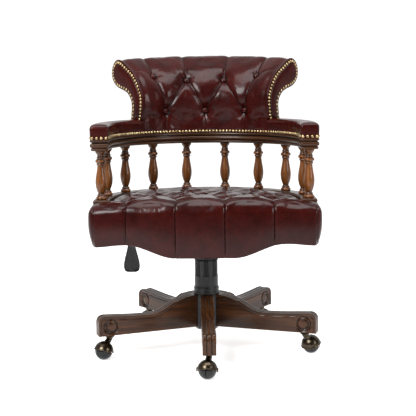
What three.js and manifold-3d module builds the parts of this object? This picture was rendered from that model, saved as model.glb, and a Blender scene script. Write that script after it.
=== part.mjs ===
// Captain's swivel chair: tufted leather seat and back, turned spindles and a carved
// five-leg base on ball castors. Millimetres, +Z up, the sitter looks along -Y.
// The origin is on the floor, under the middle of the chair.
import * as THREE from 'three';
import { mergeVertices } from 'three/addons/utils/BufferGeometryUtils.js';
import Module from 'manifold-3d';

const wasm = await Module();
wasm.setup();

// ---- Driving dimensions -------------------------------------------------------------------------
const AXIS_Y = 5.4;             // the column stands this far behind the middle of the chair
const GAP = 0.3;                // clearance between pieces that rest on each other

// Base
const LEG_COUNT = 5;
const LEG_TIP_R = 324.6;        // column axis to the outer face of a leg
const LEG_START_R = 34.6;
const LEG_WIDTH = 37;
const LEG_TIP_BOTTOM = 66;
const LEG_HUB_BOTTOM = 69.5;
const LEG_HUB_TOP = 162.5;
const LEG_TIP_TOP = 123;
const LEG_TIP_CORNER = 20;      // rounding of the outer top corner
const HUB_APOTHEM = 34.2;
const HUB_BOTTOM = 64;
const HUB_TOP = 162.5;
const BASE_TURN = THREE.MathUtils.degToRad(1.6);  // the base stands turned a little under the seat

// Castors
const STEM_R = 289;             // column axis to a castor stem
const STEM_D = 11;
const STEM_TOP = 100;
const SLEEVE_OUTER_D = 16;
const SLEEVE_BORE_D = 12.2;
const SLEEVE_TOP = 105;
const BALL_D = 50;
const BALL_BORE_D = 6.6;
const BALL_OFFSET = 26;         // stem axis to ball centre
const HOOD_INNER_R = 26.2;
const HOOD_OUTER_R = 27.8;
const HOOD_TILT = THREE.MathUtils.degToRad(18);  // the hood's open side faces down and away from the stem
const AXLE_D = 6;
const AXLE_LENGTH = 60;
const CASTOR_TURN = [-13, 60, 18, -24, 32];  // each castor's swivel away from its own leg, degrees

// Gas lift column
const TUBE_OUTER_R = 25;
const TUBE_INNER_R = 14.6;
const TUBE_BOTTOM = 62;
const TUBE_TOP = 262;
const PISTON_R = 14;
const PISTON_BOTTOM = 90;
const PISTON_TOP = 311;
const VALVE_R = 4;
const VALVE_TOP = 313.5;
const COVER_R = 34;
const COVER_COLLAR_R = 36.5;
const COVER_BORE_R = 31.5;
const COVER_BOTTOM = 163;
const COVER_COLLAR_TOP = 185;
const COVER_TOP = 262;
const UPPER_COVER_R = 30;
const UPPER_COVER_BORE_R = 26.6;
const UPPER_COVER_BOTTOM = 170;
const UPPER_COVER_TOP = 284.5;

// Tilt mechanism, level with the floor
const HOUSING_HALF = 55;        // half width
const HOUSING_WALL = 3;
const HOUSING_BOTTOM = 285;
const HOUSING_TOP = 325;
const HOUSING_REAR_TOP = 303;
const HOUSING_FRONT_Y = -75;
const HOUSING_REAR_Y = 92;
const SOCKET_R = 24;
const SOCKET_TOP = 319;
const PIVOT_Y = -45;            // tilt axis
const PIVOT_Z = 311;
const PIN_D = 12;
const PIN_LENGTH = 132;
const PIN_SIDES = 12;
// The seat turns on the pin, so the hole clears the corners of the pin's facets.
const PIN_HOLE_R = PIN_D / 2 / Math.cos(Math.PI / PIN_SIDES) + 0.1;
const CHEEK_HALF = 60;          // inner face of a cheek to the middle
const CHEEK_WALL = 3;
const SPRING_Y = 64;
const SPRING_R = 13;
const SPRING_WIRE_R = 2;
const SPRING_TURNS = 4;
const KNOB_R = 23;
const KNOB_BOTTOM = 262.5;
const KNOB_TOP = 284.5;
const KNOB_SCREW_R = 4;
const LEVER_Y = -18;
const LEVER_Z = 321.5;
const LEVER_D = 7;
const LEVER_END_X = -220;
const PADDLE_X = -212;
const PADDLE_BOTTOM = 229;
const PADDLE_HALF = 23;
const PADDLE_THICK = 12;

// Seat and back: the whole of it leans back about a line at this height over the column
const RAKE = THREE.MathUtils.degToRad(2.2);
const RAKE_Z = 400;

// Horseshoe that the rails, spindles and back follow: a half circle, then straight arms
const SHOE_R = 285.7;
const SHOE_Y = -75;
const SHOE_HALF_TURN = SHOE_R * Math.PI / 2;
const ARM_FRONT_Y = -150;
const RAIL_FRONT_Y = -142;
const CUSHION_BACK_Y = RAIL_FRONT_Y - 0.4;

const BOARD_BOTTOM = 340;
const BOARD_TOP = 355;
const BOARD_R = 301.3;
const BOARD_FRONT_Y = -189.6;
const SEAT_RAIL_BOTTOM = 424.2;
const SEAT_RAIL_TOP = 448;
const SPINDLE_HEIGHT = 135;
const SPINDLE_FIRST = THREE.MathUtils.degToRad(11.6);   // from the middle of the back
const SPINDLE_SPACING = THREE.MathUtils.degToRad(21.6);
const ARM_RAIL_BOTTOM = SEAT_RAIL_TOP + SPINDLE_HEIGHT;
const ARM_RAIL_TOP = ARM_RAIL_BOTTOM + 30;
const ARM_PAD_TOP = 657;
const FACING_THICK = 7;
// The facings end the back an eighth of a turn each way.
const BACK_HALF_TURN = SHOE_R * Math.PI / 4 - FACING_THICK - GAP;
const BACK_CROWN = 10;          // extra height of the roll at the middle of the back
const BACK_CROWN_FROM = 660;
const BACK_TOP = 831;
const CUSHION_HALF = 313.5;
const CUSHION_INNER_R = 262.6;
const CUSHION_CORNER_Y = -214;
const CUSHION_BOW_Y = -240;
const CUSHION_TOP = 454;
const APRON_BOTTOM = 302;

// ---- Materials ----------------------------------------------------------------------------------
const finish = (color, roughness, metalness) =>
  new THREE.MeshStandardMaterial({ color, roughness, metalness });
const leather = () => finish(0x4a1216, 0.35, 0);
const wood = () => finish(0x4a2814, 0.45, 0);
const plywood = () => finish(0xb08a5a, 0.8, 0);
const blackPlastic = () => finish(0x1a1a1c, 0.5, 0);
const steel = () => finish(0x8a8c90, 0.4, 0.9);
const blackSteel = () => finish(0x222326, 0.5, 0.6);
const bronze = () => finish(0x5a4a36, 0.35, 0.9);
const ballRubber = () => finish(0x15171a, 0.35, 0);

// ---- Geometry helpers ---------------------------------------------------------------------------
// Position-only copy with shared corners, faces turned outward.
function closed(geometry) {
  const bare = geometry.index ? geometry.toNonIndexed() : geometry.clone();
  bare.deleteAttribute('normal');
  bare.deleteAttribute('uv');
  const welded = mergeVertices(bare, 1e-4);
  const corner = welded.attributes.position;
  const index = Array.from(welded.index.array);
  const kept = [];
  const a = new THREE.Vector3();
  const b = new THREE.Vector3();
  const c = new THREE.Vector3();
  let volume = 0;
  for (let i = 0; i < index.length; i += 3) {
    const [p, q, r] = index.slice(i, i + 3);
    if (p === q || q === r || r === p) continue;
    kept.push(p, q, r);
    a.fromBufferAttribute(corner, p);
    b.fromBufferAttribute(corner, q);
    c.fromBufferAttribute(corner, r);
    volume += a.dot(b.cross(c));
  }
  if (volume < 0) kept.reverse();
  welded.setIndex(kept);
  return welded;
}

function toSolid(geometry) {
  const shell = closed(geometry);
  const vertProperties = new Float32Array(shell.attributes.position.array);
  const triVerts = new Uint32Array(shell.index.array);
  return new wasm.Manifold(new wasm.Mesh({ numProp: 3, vertProperties, triVerts }));
}

function toGeometry(solid) {
  const mesh = solid.getMesh();
  const geometry = new THREE.BufferGeometry();
  geometry.setAttribute('position', new THREE.BufferAttribute(new Float32Array(mesh.vertProperties), 3));
  geometry.setIndex(Array.from(mesh.triVerts));
  return geometry;
}

const combine = (operation, first, rest) =>
  toGeometry(rest.reduce((all, next) => all[operation](toSolid(next)), toSolid(first)));
const join = (first, ...rest) => combine('add', first, rest);
const cut = (first, ...rest) => combine('subtract', first, rest);
const meet = (first, ...rest) => combine('intersect', first, rest);

const outline = (points) => new THREE.Shape(points.map(([x, y]) => new THREE.Vector2(x, y)));
const slab = (shape, depth, curveSegments = 6) =>
  new THREE.ExtrudeGeometry(shape, { depth, bevelEnabled: false, curveSegments });
const turned = (profile, sides) =>
  new THREE.LatheGeometry(profile.map(([r, z]) => new THREE.Vector2(r, z)), sides).rotateX(Math.PI / 2);

// Upright tube, and upright cylinder, from z0 to z1.
function ring(inner, outer, z0, z1, sides) {
  return turned([[inner, z0], [outer, z0], [outer, z1], [inner, z1], [inner, z0]], sides);
}

function post(radius, z0, z1, sides = 12) {
  const upright = new THREE.CylinderGeometry(radius, radius, z1 - z0, sides).rotateX(Math.PI / 2);
  return upright.translate(0, 0, (z0 + z1) / 2);
}

// Cylinder along X, centred.
const crossBar = (radius, length, sides = PIN_SIDES) =>
  new THREE.CylinderGeometry(radius, radius, length, sides).rotateZ(Math.PI / 2);

function block(x0, x1, y0, y1, z0, z1) {
  const box = new THREE.BoxGeometry(x1 - x0, y1 - y0, z1 - z0);
  return box.translate((x0 + x1) / 2, (y0 + y1) / 2, (z0 + z1) / 2);
}

// A shape in (x, z) made y0..y1 deep, and a shape in (y, z) made -half..half wide.
const wallXZ = (shape, y0, y1, segments) =>
  slab(shape, y1 - y0, segments).rotateX(Math.PI / 2).translate(0, y1, 0);
const wallYZ = (shape, half, segments) =>
  slab(shape, 2 * half, segments).rotateY(Math.PI / 2).rotateX(Math.PI / 2).translate(-half, 0, 0);

// Point of the horseshoe at length s from the middle of the back, moved outward by u.
function shoePoint(s, u) {
  const bend = Math.min(Math.abs(s), SHOE_HALF_TURN) / SHOE_R;
  const straight = Math.max(Math.abs(s) - SHOE_HALF_TURN, 0);
  const side = Math.sign(s) || 1;
  return [side * (SHOE_R + u) * Math.sin(bend), SHOE_Y + (SHOE_R + u) * Math.cos(bend) - straight];
}

// Sweep a section of (outward offset, height) points along the horseshoe from s0 to s1.
function alongShoe(section, s0, s1, steps, lift = (s, z) => z) {
  const straight = new THREE.ExtrudeGeometry(outline(section), { depth: 1, steps, bevelEnabled: false });
  const corner = straight.attributes.position;
  for (let i = 0; i < corner.count; i += 1) {
    const s = s0 + (s1 - s0) * corner.getZ(i);
    const [x, y] = shoePoint(s, corner.getX(i));
    corner.setXYZ(i, x, y, lift(s, corner.getY(i)));
  }
  return closed(straight);
}

const shoeLengthTo = (y) => SHOE_HALF_TURN + SHOE_Y - y;

// Filled plan of the horseshoe at outward offset u, with its arms cut off at y.
function shoePlan(radius, y) {
  const plan = new THREE.Shape();
  plan.moveTo(-radius, y);
  plan.lineTo(radius, y);
  plan.lineTo(radius, SHOE_Y);
  plan.absarc(0, SHOE_Y, radius, 0, Math.PI, false);
  plan.closePath();
  return plan;
}

// ---- Scene graph --------------------------------------------------------------------------------
const chair = new THREE.Group();
const column = new THREE.Group();
column.position.y = AXIS_Y;
chair.add(column);

const lean = new THREE.Group();
lean.position.z = RAKE_Z;
lean.rotation.x = -RAKE;
column.add(lean);
const seat = new THREE.Group();
seat.position.z = -RAKE_Z;
lean.add(seat);

function addPiece(group, name, geometry, material) {
  const mesh = new THREE.Mesh(closed(geometry), material);
  mesh.name = name;
  group.add(mesh);
  return mesh;
}

// Level coordinates over the column, expressed in the leaning seat group.
function levelToSeat(y, z) {
  const up = z - RAKE_Z;
  return [y * Math.cos(RAKE) - up * Math.sin(RAKE), RAKE_Z + up * Math.cos(RAKE) + y * Math.sin(RAKE)];
}

// ---- Base ---------------------------------------------------------------------------------------
// Side view of a leg: (distance from the column axis, height).
function legShape() {
  const leg = new THREE.Shape();
  leg.moveTo(LEG_START_R, LEG_HUB_BOTTOM);
  leg.lineTo(LEG_START_R, LEG_HUB_TOP);
  leg.quadraticCurveTo(64, 161.5, 92, 148.5);
  leg.lineTo(98, 148);
  leg.bezierCurveTo(122, 141, 130, 117.5, 182, 117.5);
  leg.bezierCurveTo(225, 117.5, 262, LEG_TIP_TOP - 2, LEG_TIP_R - LEG_TIP_CORNER, LEG_TIP_TOP);
  leg.quadraticCurveTo(LEG_TIP_R, LEG_TIP_TOP, LEG_TIP_R, LEG_TIP_TOP - LEG_TIP_CORNER);
  leg.lineTo(LEG_TIP_R, LEG_TIP_BOTTOM);
  leg.closePath();
  return leg;
}

// A leg along +X with the hole for its castor sleeve, and the sleeve.
function legSolid() {
  const plank = slab(legShape(), LEG_WIDTH, 5).rotateX(Math.PI / 2).translate(0, LEG_WIDTH / 2, 0);
  const hole = post(SLEEVE_OUTER_D / 2 + GAP, LEG_TIP_BOTTOM - 10, SLEEVE_TOP + GAP, 10);
  return cut(plank, hole.translate(STEM_R, 0, 0));
}

function sleeveSolid() {
  const outer = SLEEVE_OUTER_D / 2;
  const bore = SLEEVE_BORE_D / 2;
  const bottom = LEG_TIP_BOTTOM + 1;
  return ring(bore, outer, bottom, SLEEVE_TOP, 10);
}

// A rod along Y through the middle of a castor's ball.
function ballRod(diameter, length) {
  const rod = new THREE.CylinderGeometry(diameter / 2, diameter / 2, length, 10);
  return rod.translate(BALL_OFFSET, 0, BALL_D / 2);
}

// Castor about its stem axis, its ball on +X.
function hoodSolid() {
  const steps = 4;
  const shell = [];
  for (let i = 0; i <= steps; i += 1) {
    const angle = i / steps * Math.PI / 2;
    shell.push([HOOD_OUTER_R * Math.cos(angle), HOOD_OUTER_R * Math.sin(angle)]);
  }
  for (let i = steps; i >= 0; i -= 1) {
    const angle = i / steps * Math.PI / 2;
    shell.push([HOOD_INNER_R * Math.cos(angle), HOOD_INNER_R * Math.sin(angle)]);
  }
  shell.push(shell[0]);
  const dome = turned(shell, 14).rotateY(-HOOD_TILT).translate(BALL_OFFSET, 0, BALL_D / 2);
  const ear = block(BALL_OFFSET - 7, BALL_OFFSET + 7, HOOD_INNER_R - 0.4, HOOD_OUTER_R, 18, 30);
  const otherEar = block(BALL_OFFSET - 7, BALL_OFFSET + 7, -HOOD_OUTER_R, -HOOD_INNER_R + 0.4, 18, 30);
  const neckTop = [0, 59];
  const neckFoot = [17, 40];
  const neck = new THREE.CylinderGeometry(8, 10, 25, 8).rotateX(Math.PI / 2);
  neck.rotateY(-Math.atan2(neckFoot[0] - neckTop[0], neckTop[1] - neckFoot[1]));
  neck.translate((neckTop[0] + neckFoot[0]) / 2, 0, (neckTop[1] + neckFoot[1]) / 2);
  const shellMiddle = (HOOD_INNER_R + HOOD_OUTER_R) / 2;
  const ballRoom = new THREE.SphereGeometry(shellMiddle, 10, 8).rotateX(Math.PI / 2);
  ballRoom.translate(BALL_OFFSET, 0, BALL_D / 2);
  const flange = post(12, 60, 65, 10);
  const stem = post(STEM_D / 2, 61, STEM_TOP, 10);
  const bore = ballRod(AXLE_D + 0.1, 80);
  return cut(join(dome, ear, otherEar, cut(neck, ballRoom), flange, stem), bore);
}

function ballSolid() {
  const bore = BALL_BORE_D / 2;
  const steps = 8;
  const start = Math.asin(bore / (BALL_D / 2));
  const profile = [];
  for (let i = 0; i <= steps; i += 1) {
    const angle = start + (Math.PI - 2 * start) * i / steps;
    profile.push([BALL_D / 2 * Math.sin(angle), -BALL_D / 2 * Math.cos(angle)]);
  }
  profile.push(profile[0]);
  const ball = new THREE.LatheGeometry(profile.map(([r, z]) => new THREE.Vector2(r, z)), 12);
  return ball.translate(BALL_OFFSET, 0, BALL_D / 2);
}

function buildBase() {
  const base = new THREE.Group();
  base.rotation.z = BASE_TURN;
  column.add(base);
  const hubPlan = new THREE.Shape();
  for (let i = 0; i < LEG_COUNT; i += 1) {
    const angle = -Math.PI / 2 + (i + 0.5) * 2 * Math.PI / LEG_COUNT;
    const reach = HUB_APOTHEM / Math.cos(Math.PI / LEG_COUNT);
    hubPlan[i ? 'lineTo' : 'moveTo'](reach * Math.cos(angle), reach * Math.sin(angle));
  }
  const hub = slab(hubPlan, HUB_TOP - HUB_BOTTOM).translate(0, 0, HUB_BOTTOM);
  addPiece(base, 'base_hub', cut(hub, post(TUBE_OUTER_R + GAP, 0, 200, 20)), blackSteel());

  for (let i = 0; i < LEG_COUNT; i += 1) {
    const number = i + 1;
    const spoke = new THREE.Group();
    spoke.rotation.z = -Math.PI / 2 + i * 2 * Math.PI / LEG_COUNT;
    base.add(spoke);
    addPiece(spoke, `base_leg_${number}`, legSolid(), wood());
    const atStem = new THREE.Group();
    atStem.position.x = STEM_R;
    spoke.add(atStem);
    addPiece(atStem, `castor_sleeve_${number}`, sleeveSolid(), steel());
    const castor = new THREE.Group();
    castor.rotation.z = THREE.MathUtils.degToRad(CASTOR_TURN[i]);
    atStem.add(castor);
    addPiece(castor, `castor_hood_${number}`, hoodSolid(), bronze());
    addPiece(castor, `castor_axle_${number}`, ballRod(AXLE_D, AXLE_LENGTH), steel());
    addPiece(castor, `castor_ball_${number}`, ballSolid(), ballRubber());
  }
}

// ---- Column -------------------------------------------------------------------------------------
function buildColumn() {
  const tube = ring(TUBE_INNER_R, TUBE_OUTER_R, TUBE_BOTTOM, TUBE_TOP, 20);
  addPiece(column, 'column_tube', tube, blackSteel());
  const cover = [[COVER_BORE_R, COVER_BOTTOM], [COVER_COLLAR_R, COVER_BOTTOM],
    [COVER_COLLAR_R, COVER_COLLAR_TOP - 4], [COVER_R, COVER_COLLAR_TOP], [COVER_R, COVER_TOP],
    [COVER_BORE_R, COVER_TOP], [COVER_BORE_R, COVER_BOTTOM]];
  addPiece(column, 'column_cover_lower', turned(cover, 24), blackPlastic());
  const upper = ring(UPPER_COVER_BORE_R, UPPER_COVER_R, UPPER_COVER_BOTTOM, UPPER_COVER_TOP, 24);
  addPiece(column, 'column_cover_upper', upper, blackPlastic());
  const piston = turned([[0, PISTON_BOTTOM], [PISTON_R, PISTON_BOTTOM], [PISTON_R, PISTON_TOP],
    [VALVE_R, PISTON_TOP], [VALVE_R, VALVE_TOP], [0, VALVE_TOP]], 16);
  addPiece(column, 'gas_piston', piston, steel());
}

// ---- Tilt mechanism -----------------------------------------------------------------------------
function housingSolid() {
  const side = [[HOUSING_FRONT_Y, HOUSING_BOTTOM], [HOUSING_REAR_Y, HOUSING_BOTTOM],
    [HOUSING_REAR_Y, HOUSING_REAR_TOP], [-10, HOUSING_TOP], [HOUSING_FRONT_Y, HOUSING_TOP]];
  const pan = wallYZ(outline(side), HOUSING_HALF);
  const inside = HOUSING_HALF - HOUSING_WALL;
  const rodHalf = LEVER_D / 2 + 0.3;
  const hollow = block(-inside, inside, HOUSING_FRONT_Y + HOUSING_WALL, HOUSING_REAR_Y - HOUSING_WALL,
    HOUSING_BOTTOM + HOUSING_WALL, 400);
  const socket = post(SOCKET_R, HOUSING_BOTTOM + 1, SOCKET_TOP - 8, 16);
  const bore = post(PISTON_R + 0.6, 200, 400, 16);
  const pinHole = crossBar(PIN_D / 2 + 0.1, 200).translate(0, PIVOT_Y, PIVOT_Z);
  const leverHole = crossBar(rodHalf, 60, 10).translate(-HOUSING_HALF, LEVER_Y, LEVER_Z);
  const leverSlot = block(-HOUSING_HALF - 5, -HOUSING_HALF + 5, LEVER_Y - rodHalf, LEVER_Y + rodHalf,
    LEVER_Z, 340);
  const screwHole = post(5, 200, 400, 10).translate(0, SPRING_Y, 0);
  return cut(join(cut(pan, hollow), socket), bore, pinHole, leverHole, leverSlot, screwHole);
}

// Coil spring drawn as its wire, with closed ends.
function springSolid() {
  const bottom = HOUSING_BOTTOM + HOUSING_WALL + GAP + SPRING_WIRE_R;
  const top = 331 - SPRING_WIRE_R;
  class Coil extends THREE.Curve {
    getPoint(t, target = new THREE.Vector3()) {
      const angle = t * SPRING_TURNS * 2 * Math.PI;
      const height = bottom + t * (top - bottom);
      return target.set(SPRING_R * Math.cos(angle), SPRING_Y + SPRING_R * Math.sin(angle), height);
    }
  }
  const wire = new THREE.Shape();
  wire.absarc(0, 0, SPRING_WIRE_R, 0, 2 * Math.PI, false);
  const steps = SPRING_TURNS * 9;
  return new THREE.ExtrudeGeometry(wire, { steps, extrudePath: new Coil(), curveSegments: 3 });
}

function knobSolid() {
  const screwTop = HOUSING_BOTTOM + 18;
  const profile = [[0, KNOB_BOTTOM], [KNOB_R - 4, KNOB_BOTTOM], [KNOB_R, KNOB_BOTTOM + 4],
    [KNOB_R, KNOB_TOP - 6], [KNOB_R - 5, KNOB_TOP], [KNOB_SCREW_R, KNOB_TOP], [KNOB_SCREW_R, screwTop],
    [0, screwTop]];
  return turned(profile, 16).translate(0, SPRING_Y, 0);
}

function leverRodSolid() {
  const inner = -6;
  const rod = crossBar(LEVER_D / 2, inner - LEVER_END_X, 10);
  rod.translate((inner + LEVER_END_X) / 2, LEVER_Y, LEVER_Z);
  const tongue = block(inner - 10, inner + 12, LEVER_Y, 5, LEVER_Z - 1.5, LEVER_Z + 1.5);
  return join(rod, tongue);
}

// Drop-shaped handle that hangs from the rod.
function paddleSolid() {
  const drop = new THREE.Shape();
  const wide = PADDLE_BOTTOM + PADDLE_HALF - 4;
  drop.moveTo(-9, LEVER_Z);
  drop.bezierCurveTo(-11, 290, -PADDLE_HALF, 268, -PADDLE_HALF, wide);
  drop.bezierCurveTo(-PADDLE_HALF, PADDLE_BOTTOM - 3, PADDLE_HALF, PADDLE_BOTTOM - 3, PADDLE_HALF, wide);
  drop.bezierCurveTo(PADDLE_HALF, 268, 11, 290, 9, LEVER_Z);
  drop.closePath();
  const plate = wallXZ(drop, LEVER_Y - PADDLE_THICK / 2, LEVER_Y + PADDLE_THICK / 2, 6);
  const boss = crossBar(8, 24, 12).translate(0, LEVER_Y, LEVER_Z);
  const hole = crossBar(LEVER_D / 2 + GAP, 40, 10).translate(10, LEVER_Y, LEVER_Z);
  return cut(join(plate, boss), hole).translate(PADDLE_X, 0, 0);
}

function buildMechanism() {
  addPiece(column, 'tilt_housing', housingSolid(), blackSteel());
  addPiece(column, 'tilt_pin', crossBar(PIN_D / 2, PIN_LENGTH).translate(0, PIVOT_Y, PIVOT_Z), steel());
  addPiece(column, 'tilt_spring', springSolid(), steel());
  addPiece(column, 'tension_knob', knobSolid(), blackPlastic());
  addPiece(column, 'lever_rod', leverRodSolid(), blackSteel());
  addPiece(column, 'lever_paddle', paddleSolid(), blackPlastic());

  const [pinY, pinZ] = levelToSeat(PIVOT_Y, PIVOT_Z);
  const plateTop = BOARD_BOTTOM - GAP;
  const plate = block(-85, 85, -95, 100, plateTop - 4, plateTop);
  const cheekShape = outline([[pinY - 24, plateTop - 1], [pinY - 13, pinZ - 12], [pinY + 13, pinZ - 12],
    [pinY + 20, plateTop - 1]]);
  const cheeks = [-1, 1].map((side) =>
    wallYZ(cheekShape, CHEEK_WALL / 2).translate(side * (CHEEK_HALF + CHEEK_WALL / 2), 0, 0));
  const pinHole = crossBar(PIN_HOLE_R, 200).translate(0, pinY, pinZ);
  addPiece(seat, 'seat_plate', cut(join(plate, ...cheeks), pinHole), blackSteel());
}

// ---- Seat ---------------------------------------------------------------------------------------
function cushionSolid() {
  const bottom = BOARD_TOP + GAP;
  const inner = slab(shoePlan(CUSHION_INNER_R, CUSHION_BACK_Y - 1), CUSHION_TOP + 20 - bottom, 20);
  inner.translate(0, 0, bottom);

  const plan = new THREE.Shape();
  plan.moveTo(-CUSHION_HALF, CUSHION_BACK_Y);
  plan.lineTo(-CUSHION_HALF, CUSHION_CORNER_Y + 22);
  plan.quadraticCurveTo(-CUSHION_HALF, CUSHION_CORNER_Y, -CUSHION_HALF + 22, CUSHION_CORNER_Y - 2);
  plan.quadraticCurveTo(-150, CUSHION_BOW_Y, 0, CUSHION_BOW_Y);
  plan.quadraticCurveTo(150, CUSHION_BOW_Y, CUSHION_HALF - 22, CUSHION_CORNER_Y - 2);
  plan.quadraticCurveTo(CUSHION_HALF, CUSHION_CORNER_Y, CUSHION_HALF, CUSHION_CORNER_Y + 22);
  plan.lineTo(CUSHION_HALF, CUSHION_BACK_Y);
  plan.closePath();
  const front = slab(plan, 180, 5).translate(0, 0, APRON_BOTTOM - 6);
  const boardRoom = block(-BOARD_R - 1.7, BOARD_R + 1.7, BOARD_FRONT_Y - 0.4, 0, 0, bottom);

  // Front view: crowned top, sides that pull in, lower edge with a deep middle.
  const face = new THREE.Shape();
  const corner = CUSHION_HALF - 11;
  face.moveTo(-corner, 330.5);
  face.bezierCurveTo(-287, 333, -265, 338, -219, 337);
  face.bezierCurveTo(-165, 333, -130, APRON_BOTTOM, -82, APRON_BOTTOM);
  face.lineTo(82, APRON_BOTTOM);
  face.bezierCurveTo(130, APRON_BOTTOM, 165, 333, 219, 337);
  face.bezierCurveTo(265, 338, 287, 333, corner, 330.5);
  face.quadraticCurveTo(CUSHION_HALF, 350, CUSHION_HALF, 385);
  face.quadraticCurveTo(CUSHION_HALF, 420, 297, 424);
  face.lineTo(264, 443);
  face.bezierCurveTo(200, 451, 100, CUSHION_TOP, 0, CUSHION_TOP);
  face.bezierCurveTo(-100, CUSHION_TOP, -200, 451, -264, 443);
  face.lineTo(-297, 424);
  face.quadraticCurveTo(-CUSHION_HALF, 420, -CUSHION_HALF, 385);
  face.quadraticCurveTo(-CUSHION_HALF, 350, -corner, 330.5);
  const faceWall = wallXZ(face, -300, 300, 5);

  // Side view: rounded over the front edge.
  const side = new THREE.Shape();
  side.moveTo(CUSHION_BOW_Y - 5, 250);
  side.lineTo(300, 250);
  side.lineTo(300, 450);
  side.lineTo(-100, CUSHION_TOP + 1);
  side.bezierCurveTo(-170, CUSHION_TOP, CUSHION_BOW_Y + 4, 452, CUSHION_BOW_Y, 400);
  side.lineTo(CUSHION_BOW_Y - 5, 380);
  side.closePath();
  const sideWall = wallYZ(side, 400, 6);
  return meet(cut(join(inner, front), boardRoom), faceWall, sideWall);
}

function buildSeat() {
  const board = slab(shoePlan(BOARD_R, BOARD_FRONT_Y), BOARD_TOP - BOARD_BOTTOM, 20);
  addPiece(seat, 'seat_board', board.translate(0, 0, BOARD_BOTTOM), plywood());
  const reach = shoeLengthTo(RAIL_FRONT_Y);
  const frameBottom = BOARD_TOP + GAP;
  const frameTop = SEAT_RAIL_BOTTOM - GAP;
  const frame = [[-20, frameBottom], [16, frameBottom], [16, frameTop], [-20, frameTop]];
  addPiece(seat, 'seat_frame', alongShoe(frame, -reach, reach, 40), plywood());
  const border = [[16.5, 331], [19, 331], [25, 346], [27.8, 375], [27, 405], [22, frameTop],
    [16.5, frameTop]];
  addPiece(seat, 'seat_border', alongShoe(border, -reach, reach, 40), leather());
  addPiece(seat, 'seat_cushion', cushionSolid(), leather());
  const rail = [[-22, SEAT_RAIL_BOTTOM], [21, SEAT_RAIL_BOTTOM], [24, 429], [24, 435], [20, 440],
    [20, SEAT_RAIL_TOP], [-22, SEAT_RAIL_TOP]];
  addPiece(seat, 'seat_rail', alongShoe(rail, -reach, reach, 40), wood());
}

// Turned spindle: (radius, part of the height from the foot).
const SPINDLE_PROFILE = [[13.5, 0], [14.5, 0.05], [8.3, 0.11], [10, 0.15], [15, 0.335], [13, 0.46],
  [9.5, 0.65], [9.5, 0.74], [14.5, 0.8], [8.5, 0.9], [14, 0.96], [14, 1]];

function buildSpindles() {
  const top = ARM_RAIL_BOTTOM - GAP;
  const foot = SEAT_RAIL_TOP + GAP;
  const wall = SPINDLE_PROFILE.map(([r, part]) => [r, foot + part * (top - foot)]);
  const profile = [[0, foot], ...wall, [0, top]];
  for (let i = 0; i < 10; i += 1) {
    const side = i < 5 ? -1 : 1;
    const fromMiddle = i < 5 ? 4 - i : i - 5;
    const [x, y] = shoePoint(side * (SPINDLE_FIRST + fromMiddle * SPINDLE_SPACING) * SHOE_R, 0);
    const name = `spindle_${String(i + 1).padStart(2, '0')}`;
    addPiece(seat, name, turned(profile, 8).translate(x, y, 0), wood());
  }
}

// ---- Arms and back ------------------------------------------------------------------------------
// Section of the back, bottom to top: (distance from the horseshoe's centre, height).
const BACK_FRONT = [[261.5, 640], [266.5, 663], [259.4, 680], [256, 700], [257, 722], [265.7, 746],
  [278, 769], [294.5, 789], [318.5, 805.5], [341, 821.3]];
const BACK_ROLL = [[354, BACK_TOP], [370, 828], [385, 814], [390, 790], [384, 769], [371, 757],
  [352, 743.5]];
const BACK_REAR = [[322, 735.2], [310, 723], [304, 710.5], [302.3, 695], [309, 660]];

const fromCentre = (points) => points.map(([r, z]) => [r - SHOE_R, z]);

function crowned(s, z) {
  const rise = THREE.MathUtils.clamp((z - BACK_CROWN_FROM) / (BACK_TOP - BACK_CROWN_FROM), 0, 1);
  return z + BACK_CROWN * rise * (1 - (s / BACK_HALF_TURN) ** 2);
}

function buildArmsAndBack() {
  const reach = shoeLengthTo(ARM_FRONT_Y);
  const rail = [[-22, ARM_RAIL_BOTTOM], [22, ARM_RAIL_BOTTOM], [26, 591], [22, 600], [26, 606],
    [25, ARM_RAIL_TOP], [-25, ARM_RAIL_TOP], [-26, 606], [-22, 600], [-26, 591]];
  addPiece(seat, 'arm_rail', alongShoe(rail, -reach, reach, 42), wood());

  const low = ARM_RAIL_TOP + GAP;
  const pad = [[-24.5, low], [24.5, low], [25.5, 630], [22, 649], [12, ARM_PAD_TOP], [-12, ARM_PAD_TOP],
    [-22, 649], [-25.5, 630]];
  const padStart = BACK_HALF_TURN + GAP;
  addPiece(seat, 'arm_pad_right', alongShoe(pad, padStart, reach, 14), leather());
  addPiece(seat, 'arm_pad_left', alongShoe(pad, -reach, -padStart, 14), leather());

  const coreFront = [[294, 741], [284, 722], [279.3, 700], [279.3, low]];
  const coreRear = [[291, low], [291, 700], [296, 716], [304, 734]];
  const frame = [...coreRear, ...coreFront];
  const frontPad = [[260.5, low], ...BACK_FRONT, ...BACK_ROLL, [336, 742.3], [319, 741], [305, 735.2],
    [294.3, 742], [283.5, 722.3], [278.8, 700], [278.8, low]];
  const panel = [[291.5, low], [310.5, low], ...BACK_REAR.slice().reverse(), [305.5, 733.2],
    [296.6, 715.7], [291.5, 700]];
  const sweep = (section) => alongShoe(fromCentre(section), -BACK_HALF_TURN, BACK_HALF_TURN, 20, crowned);
  addPiece(seat, 'back_frame', sweep(frame), plywood());
  addPiece(seat, 'back_pad', sweep(frontPad), leather());
  addPiece(seat, 'back_panel', sweep(panel), leather());

  const facingBottom = ARM_PAD_TOP + GAP;
  const facing = fromCentre([[266, facingBottom], ...BACK_FRONT.slice(1), ...BACK_ROLL, [336, 742.3],
    ...BACK_REAR.slice(0, 4), [309, facingBottom]]);
  const near = BACK_HALF_TURN + GAP;
  addPiece(seat, 'back_facing_right', alongShoe(facing, near, near + FACING_THICK, 1), leather());
  addPiece(seat, 'back_facing_left', alongShoe(facing, -near - FACING_THICK, -near, 1), leather());
}

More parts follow.
